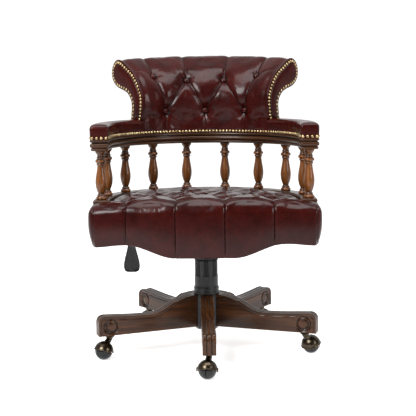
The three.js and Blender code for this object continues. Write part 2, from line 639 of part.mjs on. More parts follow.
buildBase();
buildColumn();
buildMechanism();
buildSeat();
buildSpindles();
buildArmsAndBack();

export default chair;
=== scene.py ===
import math

import bmesh
import bpy
import numpy as np
from mathutils import Matrix, Vector, kdtree
from mathutils.geometry import delaunay_2d_cdt


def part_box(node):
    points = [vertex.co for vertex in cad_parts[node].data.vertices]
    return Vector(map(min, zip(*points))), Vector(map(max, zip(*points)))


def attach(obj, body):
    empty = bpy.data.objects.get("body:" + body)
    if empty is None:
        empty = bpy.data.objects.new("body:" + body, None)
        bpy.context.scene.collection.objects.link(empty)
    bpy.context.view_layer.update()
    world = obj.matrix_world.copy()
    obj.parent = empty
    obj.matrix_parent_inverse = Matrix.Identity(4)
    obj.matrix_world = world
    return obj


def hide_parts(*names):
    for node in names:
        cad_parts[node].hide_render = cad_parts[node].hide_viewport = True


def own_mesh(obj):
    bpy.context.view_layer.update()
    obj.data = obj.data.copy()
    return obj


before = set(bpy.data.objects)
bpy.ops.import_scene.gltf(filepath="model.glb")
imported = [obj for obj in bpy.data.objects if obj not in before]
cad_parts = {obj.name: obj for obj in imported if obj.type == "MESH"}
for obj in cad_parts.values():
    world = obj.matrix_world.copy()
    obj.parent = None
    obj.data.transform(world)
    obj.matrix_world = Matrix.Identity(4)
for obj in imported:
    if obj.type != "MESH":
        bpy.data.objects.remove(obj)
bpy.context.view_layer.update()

# A captain's swivel chair: tufted oxblood leather, turned spindles, carved star base on ball castors.
# Lengths are millimetres until a mesh is made; the row frame is in metres.
MM = 0.001


def middle(node):
    low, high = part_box(node)
    return (low + high) / 2 / MM


# ---- Driving dimensions ---------------------------------------------------------------------------
AXIS_Y = middle("gas_piston").y
BASE_TURN = math.radians(1.6)
RAKE = math.radians(2.2)
RAKE_Z = 400

SHOE_R = 285.7                 # horseshoe of the rails: a half circle, then straight arms
SHOE_Y = -75
HALF_TURN = SHOE_R * math.pi / 2
RAIL_FRONT_Y = -142
ARM_FRONT_Y = -150
BACK_HALF = SHOE_R * math.pi / 4 - 7.3
FACING_S = BACK_HALF + 7.3

SEAT_RAIL_Z = (424.2, 448)
ARM_RAIL_Z = (583, 613)
ARM_PAD_Z = (613.3, 657)
CUSHION_HALF = 313.5
CUSHION_INNER_R = 262.6
CUSHION_BOW_Y = -240
CUSHION_CORNER_Y = -214
CUSHION_TOP = 454
APRON_BOTTOM = 302
BOARD_TOP = 355.3
BOARD_FRONT_Y = -190
BOARD_HALF = 303

LEG_WIDTH = 37
LEG_HUB_R, LEG_TIP_R = 34.6, 324.6
LEG_FOOT_Z = 66
STEM_R = 289
VOLUTE = (288.0, 92.5)          # middle of the spiral, from the column and above the floor
CASTOR_TURN = (-13, 60, 18, -24, 32)
BALL_OFFSET = 26
BALL_R = 25


# ---- Places ---------------------------------------------------------------------------------------
def lean(points):
    """Seat coordinates, raked back about a line over the column, to the row frame."""
    p = np.asarray(points, float)
    up = p[:, 2] - RAKE_Z
    c, s = math.cos(RAKE), math.sin(RAKE)
    return np.column_stack([p[:, 0], AXIS_Y + p[:, 1] * c + up * s, RAKE_Z + up * c - p[:, 1] * s]) * MM


def level(points):
    """Coordinates about the column axis to the row frame."""
    return (np.asarray(points, float) + [0, AXIS_Y, 0]) * MM


def turned_about_column(angle):
    c, s = math.cos(angle), math.sin(angle)

    def place(points):
        x, y, z = np.asarray(points, float).T
        return level(np.column_stack([x * c - y * s, x * s + y * c, z]))
    return place


def at_castor(i):
    """Castor i's own frame: its stem axis at the origin, its ball on +X."""
    spoke = -math.pi / 2 + i * math.tau / 5 + BASE_TURN
    turn = spoke + math.radians(CASTOR_TURN[i])
    c, s = math.cos(turn), math.sin(turn)
    x0, y0 = STEM_R * math.cos(spoke), STEM_R * math.sin(spoke)

    def place(points):
        x, y, z = np.asarray(points, float).T
        return level(np.column_stack([x0 + x * c - y * s, y0 + x * s + y * c, z]))
    return place


def shoe(s, u):
    """Plan point of the horseshoe at length s from the middle of the back, moved outward by u."""
    s, u = np.broadcast_arrays(np.asarray(s, float), np.asarray(u, float))
    bend = np.minimum(np.abs(s), HALF_TURN) / SHOE_R
    straight = np.maximum(np.abs(s) - HALF_TURN, 0)
    side = np.where(s < 0, -1.0, 1.0)
    return side * (SHOE_R + u) * np.sin(bend), SHOE_Y + (SHOE_R + u) * np.cos(bend) - straight


def shoe_length_to(y):
    return HALF_TURN + SHOE_Y - y


def on_shoe(s, u, z):
    x, y = shoe(s, u)
    return np.stack([x, y, np.broadcast_to(z, x.shape)], axis=-1)


# ---- Curves ---------------------------------------------------------------------------------------
def bezier(a, b, c, d, n):
    t = np.linspace(0, 1, n + 1)[:, None]
    a, b, c, d = (np.array(p, float) for p in (a, b, c, d))
    return a * (1 - t) ** 3 + 3 * b * t * (1 - t) ** 2 + 3 * c * t * t * (1 - t) + d * t ** 3


def smooth_path(points, step):
    """Catmull-Rom curve through the points, sampled at an even step."""
    p = np.array(points, float)
    q = np.vstack([2 * p[0] - p[1], p, 2 * p[-1] - p[-2]])
    t = np.linspace(0, 1, 24, endpoint=False)[:, None]
    parts = [0.5 * (2 * b + (c - a) * t + (2 * a - 5 * b + 4 * c - d) * t ** 2
                    + (3 * b - a - 3 * c + d) * t ** 3) for a, b, c, d in zip(q, q[1:], q[2:], q[3:])]
    return even(np.vstack([*parts, p[-1:]]), step)


def lengths(path):
    return np.concatenate([[0], np.cumsum(np.linalg.norm(np.diff(path, axis=0), axis=1))])


def even(path, step):
    """The same line with its points an even step apart."""
    path = np.asarray(path, float)
    at = lengths(path)
    want = np.linspace(0, at[-1], max(2, round(at[-1] / step) + 1))
    return np.column_stack([np.interp(want, at, column) for column in path.T])


def arc_points(radius, a0, a1, n):
    angle = np.radians(np.linspace(a0, a1, n))
    return np.column_stack([radius * np.cos(angle), radius * np.sin(angle)])


def normals_2d(path, closed=False):
    """Unit normals to the right of the way the line runs."""
    if closed:
        d = np.roll(path, -1, axis=0) - np.roll(path, 1, axis=0)
    else:
        d = np.gradient(path, axis=0)
    d = d / np.linalg.norm(d, axis=1, keepdims=True)
    return np.column_stack([d[:, 1], -d[:, 0]])


def ease(x):
    x = np.clip(x, 0, 1)
    return x * x * (3 - 2 * x)


def distance_to_segment(p, a, b):
    """(distance, share of the way from a to b, side) of each point p."""
    a, b = np.array(a, float), np.array(b, float)
    d = b - a
    t = np.clip(((p - a) @ d) / (d @ d), 0, 1)
    side = np.sign(d[0] * (p[:, 1] - a[1]) - d[1] * (p[:, 0] - a[0]))
    return np.linalg.norm(p - a - t[:, None] * d, axis=1), t, side


def distance_to_line(p, line):
    """Distance of each point p from a line of many segments."""
    near = np.full(len(p), np.inf)
    for a, b in zip(line, line[1:]):
        near = np.minimum(near, distance_to_segment(p, a, b)[0])
    return near


def closing(outline):
    return np.vstack([outline, outline[:1]])


def tree_of(points):
    """A search tree over points, flat or not."""
    tree = kdtree.KDTree(len(points))
    for k, p in enumerate(points):
        tree.insert((*p, 0)[:3], k)
    tree.balance()
    return tree


# ---- Meshes ---------------------------------------------------------------------------------------
def piece(name, shape, material, body="seat", place=lean, crease_shade=None, sharp=None, replaces=()):
    """A closed mesh (points, faces, uv if any) that rides on a CAD body. Its slot has its material's name.
    uv is one pair for each face corner."""
    points, faces, *uv = shape
    mesh = bpy.data.meshes.new(name)
    mesh.from_pydata(place(points).tolist(), [], [list(f) for f in faces])
    if uv:
        mesh.uv_layers.new(name="UVMap").data.foreach_set("uv", (np.asarray(uv[0], float) * MM).ravel())
    # a per-point attribute of painted shade, which the materials read to darken the colour in folds, grooves
    # and seams
    if crease_shade is not None:
        mesh.attributes.new("crease_shade", "FLOAT", "POINT").data.foreach_set("value", np.asarray(crease_shade, float))
    clean = bmesh.new()
    clean.from_mesh(mesh)
    bmesh.ops.remove_doubles(clean, verts=clean.verts, dist=1e-6)
    bmesh.ops.recalc_face_normals(clean, faces=clean.faces)
    clean.to_mesh(mesh)
    clean.free()
    mesh.materials.append(material)
    mesh.shade_smooth()
    if sharp:
        mesh.set_sharp_from_angle(angle=math.radians(sharp))
    obj = bpy.data.objects.new(name, mesh)
    bpy.context.scene.collection.objects.link(obj)
    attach(obj, body)
    if replaces:
        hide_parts(*replaces)
    return obj


def skin(rings, caps=True, u=None, v=None):
    """(points, faces, uv) of a surface through closed rings of points: rings[i][j]."""
    rings = np.asarray(rings, float)
    n, m = rings.shape[:2]
    i, j = np.meshgrid(np.arange(n - 1), np.arange(m), indexing="ij")
    k = (j + 1) % m
    faces = np.stack([i * m + j, (i + 1) * m + j, (i + 1) * m + k, i * m + k], axis=-1).reshape(-1, 4)
    if u is None:
        u = np.arange(n)
    if v is None:
        v = lengths(closing(rings[n // 2]))
    around = ((i, j), (i + 1, j), (i + 1, j + 1), (i, j + 1))
    corner = np.stack([np.stack([u[a], v[b]], -1) for a, b in around], axis=2)
    faces, uv = faces.tolist(), corner.reshape(-1, 2).tolist()
    if caps:
        for ring, at in ((0, u[0]), (n - 1, u[-1])):
            faces.append([ring * m + t for t in range(m)])
            uv += [[at + p[0], p[2]] for p in rings[ring] - rings[ring].mean(0)]
    return rings.reshape(-1, 3), faces, uv


def merge(*parts):
    """Several (points, faces, uv) as one."""
    points, faces, uv, start = [], [], [], 0
    for p, f, c in parts:
        points.append(p)
        faces += [[start + k for k in face] for face in f]
        uv += list(c)
        start += len(p)
    return np.vstack(points), faces, uv


def turned(profile, sides=32):
    """A lathe form of (radius, height) points, closed on its axis or, for a ring profile, on itself."""
    profile = np.array(profile, float)
    angle = np.arange(sides) * math.tau / sides
    r = np.maximum(profile[:, :1], 1e-4)
    rings = np.stack([r * np.cos(angle), r * np.sin(angle), np.repeat(profile[:, 1:], sides, 1)], axis=-1)
    ring_shaped = np.allclose(profile[0], profile[-1])
    v = np.arange(sides + 1) * math.tau / sides * profile[:, 0].max()
    return skin(rings, not ring_shaped, lengths(profile), v)


def laid(shape, axis, place, side=1):
    """A turned form with its height along X or Y, moved to a place."""
    x, y, height = shape[0].T
    columns = (side * height, x, y) if axis == "X" else (x, side * height, y)
    return np.column_stack(columns) + place, *shape[1:]


def tube(path, radius, sides=10):
    """A round rod along a line; radius may change along it."""
    path = np.asarray(path, float)
    tangent = np.gradient(path, axis=0)
    tangent /= np.linalg.norm(tangent, axis=1, keepdims=True)
    side = np.cross(tangent[0], [0.31, 0.17, 0.93])
    angle = np.arange(sides) * math.tau / sides
    rings = []
    for p, t, r in zip(path, tangent, np.broadcast_to(np.asarray(radius, float), (len(path),))):
        side = side - (side @ t) * t
        side /= np.linalg.norm(side)
        up = np.cross(t, side)
        rings.append(p + r * (np.cos(angle)[:, None] * side + np.sin(angle)[:, None] * up))
    return skin(rings, u=lengths(path))


def fill_outline(outline, step, extra=()):
    """Fills a closed outline with triangles on a lattice. The outline's points come first."""
    outline = np.asarray(outline, float)
    low, high = outline.min(0), outline.max(0)
    rows = np.arange(low[1], high[1], step * 0.87)
    lattice = np.array([(x, y) for k, y in enumerate(rows)
                        for x in np.arange(low[0] + (k % 2) * step / 2, high[0], step)])
    loop = closing(outline)
    inside = np.zeros(len(lattice), bool)
    for a, b in zip(loop, loop[1:]):
        cross = (a[1] > lattice[:, 1]) != (b[1] > lattice[:, 1])
        slope = (b[0] - a[0]) / ((b[1] - a[1]) or 1e-12)
        inside ^= cross & (lattice[:, 0] < a[0] + slope * (lattice[:, 1] - a[1]))
    gap = step * 0.62
    inside &= distance_to_line(lattice, loop) > gap
    for tree in map(tree_of, extra):
        inside &= np.array([tree.find((*p, 0))[2] >= gap for p in lattice])
    points = np.vstack([outline, *extra, lattice[inside]])
    found = delaunay_2d_cdt([Vector(p) for p in points], [], [list(range(len(outline)))], 1, 1e-5)
    flat = np.array([tuple(p) for p in found[0]])
    back = np.argsort([source[0] for source in found[3]])
    rank = np.empty(len(back), int)
    rank[back] = np.arange(len(back))
    return flat[back], [[int(rank[k]) for k in face] for face in found[2]]


def per_corner(values, faces):
    return [values[k] for face in faces for k in face]


# ---- Materials ------------------------------------------------------------------------------------
class Shader:
    """A Principled material with small helpers for its nodes."""

    def __init__(self, name, **values):
        self.material = bpy.data.materials.new(name)
        self.material.use_nodes = True
        self.nodes = self.material.node_tree.nodes
        self.links = self.material.node_tree.links
        self.out = self.nodes["Principled BSDF"]
        for key, value in values.items():
            self.out.inputs[key.replace("_", " ")].default_value = value

    def node(self, kind, **inputs):
        made = self.nodes.new(kind)
        for key, value in inputs.items():
            name = key.replace("_", " ")
            if hasattr(made, key) and name not in made.inputs:
                setattr(made, key, value)
            else:
                self.feed(made.inputs[name], value)
        return made

    def feed(self, socket, value):
        if isinstance(value, bpy.types.NodeSocket):
            self.links.new(value, socket)
        else:
            socket.default_value = value

    def coordinates(self, kind, scale):
        source = self.node("ShaderNodeTexCoord").outputs[kind]
        return self.node("ShaderNodeMapping", Vector=source, Scale=scale).outputs["Vector"]

    def noise(self, vector, scale, detail=3.0, roughness=0.55):
        made = self.node("ShaderNodeTexNoise", Vector=vector, Scale=scale, Detail=detail, Roughness=roughness)
        return made.outputs["Fac"]

    def ramp(self, factor, *stops):
        made = self.node("ShaderNodeValToRGB", Fac=factor)
        band = made.color_ramp
        while len(band.elements) < len(stops):
            band.elements.new(0.5)
        for element, (at, color) in zip(band.elements, stops):
            element.position = at
            element.color = (*color, 1) if isinstance(color, tuple) else (color, color, color, 1)
        return made.outputs["Color"]

    def mix(self, factor, a, b):
        made = self.nodes.new("ShaderNodeMix")
        made.data_type = "RGBA"
        for k, value in ((0, factor), (6, a), (7, b)):
            self.feed(made.inputs[k], (*value, 1) if isinstance(value, tuple) else value)
        return made.outputs[2]

    def math(self, operation, a, b):
        made = self.node("ShaderNodeMath", operation=operation)
        self.feed(made.inputs[0], a)
        self.feed(made.inputs[1], b)
        return made.outputs[0]

    def bump(self, height, strength, distance, normal=None):
        inputs = {"Height": height, "Strength": strength, "Distance": distance}
        if normal is not None:
            inputs["Normal"] = normal
        return self.node("ShaderNodeBump", **inputs).outputs["Normal"]

    def set(self, name, socket):
        self.links.new(socket, self.out.inputs[name])

    def roughness(self, factor, low, high):
        made = self.node("ShaderNodeMapRange", Value=factor, To_Min=low, To_Max=high)
        self.set("Roughness", made.outputs[0])

    def paint_fold_shade(self, tone, start, most, color):
        # painted shade: the colour darkens towards a near-black tone where the crease attribute marks folds,
        # grooves and seams
        fold = self.node("ShaderNodeAttribute", attribute_name="crease_shade").outputs["Fac"]
        return self.mix(self.ramp(fold, (start, 0.0), (0.9, most)), tone, color)


def leather(name, deep, body, worn):
    m = Shader(name, Roughness=0.3, Coat_Weight=0.09, Coat_Roughness=0.09, Specular_IOR_Level=0.12)
    place = m.coordinates("Object", (1, 1, 1))
    clouds = m.noise(place, 16, 6, 0.68)
    mottle = m.noise(place, 170, 4, 0.65)
    tone = m.mix(m.ramp(clouds, (0.36, 0.0), (0.66, 1.0)), body, worn)
    tone = m.mix(m.ramp(mottle, (0.4, 0.0), (0.72, 0.45)), tone, deep)
    # painted shade in the pleats, folds, seams and round the buttons
    m.set("Base Color", m.paint_fold_shade(tone, 0.12, 0.93, tuple(c * 0.18 for c in deep)))
    pores, pebble = (m.node("ShaderNodeTexVoronoi", Vector=place, Scale=scale, feature=kind).outputs[0]
                     for scale, kind in ((760.0, "F1"), (330.0, "SMOOTH_F1")))
    grain = m.bump(pebble, 0.06, 0.0006, m.bump(pores, 0.06, 0.00035))
    m.set("Normal", m.bump(m.noise(place, 95, 5, 0.65), 0.08, 0.0012, grain))
    m.roughness(m.noise(place, 40, 4, 0.6), 0.2, 0.36)
    return m.material


def wood(name, dark, mid, light, coat, kind="UV"):
    m = Shader(name, Roughness=0.35, Coat_Weight=coat, Coat_Roughness=0.1, Specular_IOR_Level=0.2)
    figure = m.noise(m.coordinates(kind, (3.2, 46, 46)), 1.0, 5, 0.62)
    fibres = m.noise(m.coordinates(kind, (14, 420, 420)), 1.0, 4, 0.6)
    band = m.math("ADD", m.math("MULTIPLY", figure, 0.72), m.math("MULTIPLY", fibres, 0.34))
    tone = m.ramp(band, (0.36, dark), (0.53, mid), (0.74, light))
    pores = m.ramp(m.noise(m.coordinates(kind, (26, 900, 900)), 1.0, 2, 0.5), (0.56, 0.0), (0.68, 0.55))
    tone = m.mix(pores, tone, tuple(c * 0.35 for c in dark))
    # painted shade in the turned grooves, moulding coves and carved lines
    m.set("Base Color", m.paint_fold_shade(tone, 0.1, 0.88, tuple(c * 0.2 for c in dark)))
    m.set("Normal", m.bump(fibres, 0.14, 0.0003))
    m.roughness(figure, 0.24, 0.42)
    return m.material


def plastic(name, color, low, high, stipple):
    m = Shader(name, Roughness=low, Specular_IOR_Level=0.25)
    place = m.coordinates("Object", (1, 1, 1))
    darker, lighter = (tuple(c * share for c in color) for share in (0.8, 1.3))
    m.set("Base Color", m.ramp(m.noise(place, 30, 3), (0.3, darker), (0.7, lighter)))
    m.roughness(m.noise(place, 55, 4), low, high)
    m.set("Normal", m.bump(m.noise(place, 1500, 2), stipple, 0.0002))
    return m.material


def metal(name, color, worn, low, high, metallic=1.0, brushed=(1, 1, 1)):
    m = Shader(name, Metallic=metallic, Roughness=low)
    place = m.coordinates("Object", (1, 1, 1))
    m.set("Base Color", m.ramp(m.noise(place, 85, 4, 0.6), (0.36, color), (0.68, worn)))
    m.roughness(m.noise(place, 160, 4), low, high)
    m.set("Normal", m.bump(m.noise(m.coordinates("Object", brushed), 900, 2), 0.1, 0.0002))
    return m.material


SEAT_LEATHER = leather("seat_leather", (0.0045, 0.0003, 0.0002), (0.014, 0.0009, 0.0006),
                       (0.03, 0.0023, 0.0014))
BACK_LEATHER = leather("back_leather", (0.005, 0.0004, 0.0003), (0.017, 0.0012, 0.0009),
                       (0.036, 0.0031, 0.002))
WALNUT = wood("walnut", (0.007, 0.0022, 0.0008), (0.034, 0.0112, 0.0031), (0.088, 0.031, 0.0085), 0.1)
TURNED_WALNUT = wood("turned_walnut", (0.022, 0.0062, 0.0016), (0.1, 0.031, 0.0062),
                     (0.24, 0.084, 0.018), 0.3)
PLYWOOD = wood("plywood", (0.2, 0.12, 0.06), (0.36, 0.23, 0.12), (0.5, 0.35, 0.2), 0.0, "Object")
BLACK_PLASTIC = plastic("black_plastic", (0.012, 0.012, 0.0125), 0.3, 0.46, 0.12)
BALL_PLASTIC = plastic("castor_black", (0.006, 0.0065, 0.007), 0.12, 0.24, 0.03)
BLACK_STEEL = metal("black_steel", (0.012, 0.012, 0.013), (0.02, 0.02, 0.021), 0.35, 0.55, 0.2)
BRIGHT_STEEL = metal("bright_steel", (0.42, 0.42, 0.43), (0.6, 0.6, 0.6), 0.22, 0.38, 1.0, (1, 1, 14))
BRONZE = metal("antique_bronze", (0.024, 0.018, 0.013), (0.085, 0.066, 0.045), 0.2, 0.36)
BRASS = metal("antique_brass", (0.24, 0.165, 0.075), (0.56, 0.44, 0.24), 0.3, 0.45)


# ---- Upholstery forms -----------------------------------------------------------------------------
def tufting(flat, buttons, pleats, dimple):
    """(height, painted shade) of buttoned leather over flat points; the painted shade darkens the colour
    along the pleats and in a ring round each button. A pleat (a, b, depth at a, at b, reach) is a fold: steep
    on one side of its line and easy on the other. A button sinks its place by dimple more."""
    height = np.zeros(len(flat))
    crease_shade = np.zeros(len(flat))
    for a, b, at_a, at_b, reach in pleats:
        d, t, side = distance_to_segment(flat, a, b)
        depth = at_a + (at_b - at_a) * ease(t)
        height = np.minimum(height, -depth * np.exp(-d / np.where(side > 0, reach * 0.45, reach)))
        # painted shade along the pleat line
        crease_shade = np.maximum(crease_shade, np.clip(depth / 7, 0.25, 1) * np.exp(-(d / 1.5) ** 2))
    for b in buttons:
        d = np.linalg.norm(flat - np.array(b, float), axis=1)
        height -= dimple * np.exp(-(d / 19.0) ** 1.4)
        # painted shade in a ring round the button
        crease_shade = np.maximum(crease_shade, np.exp(-((d - 9.5) / 3.0) ** 2))
    return height, crease_shade


def sewn(flat, buttons, pleats):
    """How firmly each flat point is held by the pleats and buttons, from 0 to 1."""
    hold = np.zeros(len(flat))
    for a, b, *_ in pleats:
        hold = np.maximum(hold, np.exp(-(distance_to_segment(flat, a, b)[0] / 2.6) ** 2))
    for b in buttons:
        hold = np.maximum(hold, np.exp(-(np.linalg.norm(flat - b, axis=1) / 11) ** 4))
    return hold


def read(items, name, kind=float, width=3):
    """An attribute of all a mesh's items as an array."""
    values = np.empty(len(items) * width, kind)
    items.foreach_get(name, values)
    return values.reshape(-1, width)


SETTLE_PRESSURE, SETTLE_FRAMES = 2.5, 14
SETTLE_CAP = 2.6                # the furthest that a point may move


def settle(obj, held):
    """Lets the leather find its own folds over the stuffing, held at seams, pleats and buttons."""
    mesh = obj.data
    start = read(mesh.vertices, "co")
    group = obj.vertex_groups.new(name="held")
    weight = np.round(np.clip(held(start / MM), 0, 1), 2)
    for w in np.unique(weight[weight > 0]):
        group.add(np.flatnonzero(weight == w).tolist(), float(w), "REPLACE")
    cloth = obj.modifiers.new("settle", "CLOTH")
    rules = cloth.settings
    rules.quality = 4
    rules.mass = 0.4
    rules.tension_stiffness = rules.compression_stiffness = 20
    rules.shear_stiffness = 12
    rules.bending_stiffness = 2.5
    rules.vertex_group_mass = "held"
    rules.shrink_min = -0.006
    rules.use_pressure = True
    rules.uniform_pressure_force = SETTLE_PRESSURE
    rules.effector_weights.gravity = 0
    cloth.collision_settings.use_collision = False
    cloth.point_cache.frame_start = 1
    cloth.point_cache.frame_end = SETTLE_FRAMES
    scene = bpy.context.scene
    for frame_number in range(1, SETTLE_FRAMES + 1):
        scene.frame_set(frame_number)
    posed = obj.evaluated_get(bpy.context.evaluated_depsgraph_get())
    shift = read(posed.data.vertices, "co") - start
    ends = read(mesh.edges, "vertices", int, 2)
    neighbours = np.bincount(ends.ravel(), minlength=len(start))[:, None]
    for _ in range(6):
        total = np.zeros_like(shift)
        np.add.at(total, ends[:, 0], shift[ends[:, 1]])
        np.add.at(total, ends[:, 1], shift[ends[:, 0]])
        shift = 0.4 * shift + 0.6 * total / neighbours
    shift *= (1 - 0.9 * weight)[:, None]
    far = np.linalg.norm(shift, axis=1, keepdims=True)
    shift *= np.minimum(1, SETTLE_CAP * MM / np.maximum(far, 1e-9))
    obj.modifiers.remove(cloth)
    obj.vertex_groups.remove(group)
    scene.frame_set(1)
    mesh.vertices.foreach_set("co", (start + shift).ravel())
    mesh.update()


def surface_at(obj, places, proud):
    """(points, normals) in millimetres of the surface nearest to places in the row frame."""
    mesh = obj.data
    spots, ways = [], []
    tree = tree_of([v.co for v in mesh.vertices])
    for place in places:
        near = [mesh.vertices[k] for q, k, d in tree.find_range(Vector(place), 0.014)]
        lowest = mesh.vertices[tree.find(Vector(place))[1]]
        normal = sum((v.normal for v in near), Vector(lowest.normal)).normalized()
        spots.append(np.array(lowest.co + normal * proud) / MM)
        ways.append(np.array(normal))
    return spots, ways


def in_row_frame(points):
    return np.asarray(points, float) * MM


def vertex_normals(points, faces):
    mesh = bpy.data.meshes.new("normals")
    mesh.from_pydata(np.asarray(points).tolist(), [], [list(f) for f in faces])
    bm = bmesh.new()
    bm.from_mesh(mesh)
    bmesh.ops.recalc_face_normals(bm, faces=bm.faces)
    bm.normal_update()
    normals = np.array([tuple(v.normal) for v in bm.verts])
    bm.free()
    bpy.data.meshes.remove(mesh)
    return normals


def domes(name, centres, directions, radius, height, material, rings=3, sides=10, place=lean):
    """Round heads, such as nails or buttons, standing on a surface."""
    quarter = np.linspace(0, math.pi / 2, rings + 1)[:-1]
    curve = [(radius * math.cos(a), height * math.sin(a)) for a in quarter]
    profile = [(radius * 0.97, -height * 0.7), *curve, (0.0, height)]
    shape, faces, uv = turned(profile, sides)
    parts = []
    for c, d in zip(np.asarray(centres, float), np.asarray(directions, float)):
        turn = np.array(Vector(d).to_track_quat("Z", "Y").to_matrix())
        parts.append((shape @ turn.T + c, faces, uv))
    return piece(name, merge(*parts), material, place=place)


def radial(s):
    """Unit plan direction away from the horseshoe's line."""
    x0, y0 = shoe(s, 0)
    x1, y1 = shoe(s, 1)
    return np.stack([x1 - x0, y1 - y0, np.zeros_like(x0)], -1)


# ---- Seat -----------------------------------------------------------------------------------------
PLEAT_PITCH = 133
PLEAT_X = [-13.5 + PLEAT_PITCH * (k - 1.5) for k in range(4)]
ROW_Y = [-118, -28, 62, 140]
SEAT_EDGE_Z = 417               # where the wall of the seat meets its rolled top edge
WALL_BACK_Y = -150              # where the free wall ends and the rail begins
FRONT_CORNER = 22               # radius of the cushion's front corners in plan


def front_y(x):
    """Plan of the bowed front edge."""
    t = np.clip(np.abs(x) / (CUSHION_HALF - FRONT_CORNER), 0, 1)
    return CUSHION_BOW_Y + (CUSHION_CORNER_Y - 2 - CUSHION_BOW_Y) * t ** 2.1


def apron_edge(x):
    """Height of the serpentine lower edge."""
    a = np.abs(x)
    rise = APRON_BOTTOM + 35 * ease((a - 80) / 132)
    return rise - 6.5 * ease((a - 222) / 78)


def round_distance(x, y):
    """Distance from the middle of the horseshoe's bend, or from its straight axis ahead of that."""
    return np.hypot(x, np.maximum(y - SHOE_Y, 0))


def seat_outline(step):
    """Plan of the cushion as (x, y), anticlockwise, with close points where the apron's pleats fall."""
    half, corner = CUSHION_HALF, FRONT_CORNER
    close = [x + d for x in PLEAT_X for d in (-6, -4, -2.6, -1.6, -0.8, 0, 0.8, 1.6, 2.6, 4, 6)]
    plain = [x for x in np.linspace(-half + corner, half - corner, round(2 * (half - corner) / step))
             if min(abs(x - c) for c in close) > 1.2]
    xs = np.array(sorted(close + plain))
    front = np.column_stack([xs, front_y(xs)])
    y0 = front_y(half - corner)
    turn = bezier((half - corner, y0), (half - 9, y0 + 1), (half, y0 + 8), (half, y0 + corner + 4), 24)
    round_right = even(turn, 2.4)
    back = RAIL_FRONT_Y - 0.6
    inner = CUSHION_INNER_R
    arc = even(arc_points(inner, 0, 180, 120) + [0, SHOE_Y], step)
    corners = [round_right[-1], (half, back), (inner, back), arc[0]]
    runs = [even(np.array([a, b]), step)[1:] for a, b in zip(corners, corners[1:])]
    left = [run[::-1] * [-1, 1] for run in reversed(runs)]
    return np.vstack([front, round_right[1:], *runs[:2], runs[2][:-1], arc, left[0][1:], *left[1:],
                      (round_right * [-1, 1])[::-1][:-1]])


def seat_height(x, y):
    """Top of the stuffing without its tufts."""
    to_front = np.maximum(y - front_y(x), 0)
    to_side = np.maximum(CUSHION_HALF - np.abs(x), 0)
    to_rail = np.where(y < RAIL_FRONT_Y, 60, np.maximum(CUSHION_INNER_R - round_distance(x, y), 0))

    def rounded(d, reach, power):
        return (1 - (1 - np.clip(d / reach, 0, 1)) ** power) ** (1 / power)
    crown = CUSHION_TOP + 2 - 17 * np.clip(np.abs(x) / 300, 0, 1) ** 3
    edge = SEAT_EDGE_Z - 6 * np.clip(np.abs(x) / 300, 0, 1) ** 3
    top = edge + (crown - edge) * rounded(to_front, 40, 2.2) * rounded(to_side, 20, 2.2)
    fade = ease((y + 175) / 50)
    return top - fade * 9 * (1 - rounded(to_rail, 40, 2)) - 3 * ease((y - 60) / 130)


def seat_layout():
    """(buttons, pleats) of the seat, in plan. Past the front edge, forward is the way down the apron."""
    rows = []
    for k, row in enumerate(ROW_Y):
        between = [PLEAT_X[0] - PLEAT_PITCH / 2, *[x + PLEAT_PITCH / 2 for x in PLEAT_X]]
        xs = between if k % 2 else PLEAT_X
        rows.append([(a, row) for a in xs])
    inside = [[p for p in row if round_distance(*p) < CUSHION_INNER_R - 20] for row in rows]
    kept = [p for row in inside for p in row]
    pleats = []
    for a in PLEAT_X:
        crest = (a, float(front_y(a)) + 16)
        pleats.append(((a, ROW_Y[0]), crest, 8.0, 4.6, 11.0))
        pleats.append((crest, (a, -520), 4.6, 3.0, 5.0))
    for first, second in zip(rows, rows[1:]):
        for p in first:
            for q in second:
                if abs(p[0] - q[0]) < 70 and (p in kept or q in kept):
                    pleats.append((p, q, 8.0, 8.0, 14.0))
    pleats += [(p, (p[0] * 1.25, 260), 7.0, 4.0, 12.0) for p in inside[-1]]
    return kept, pleats


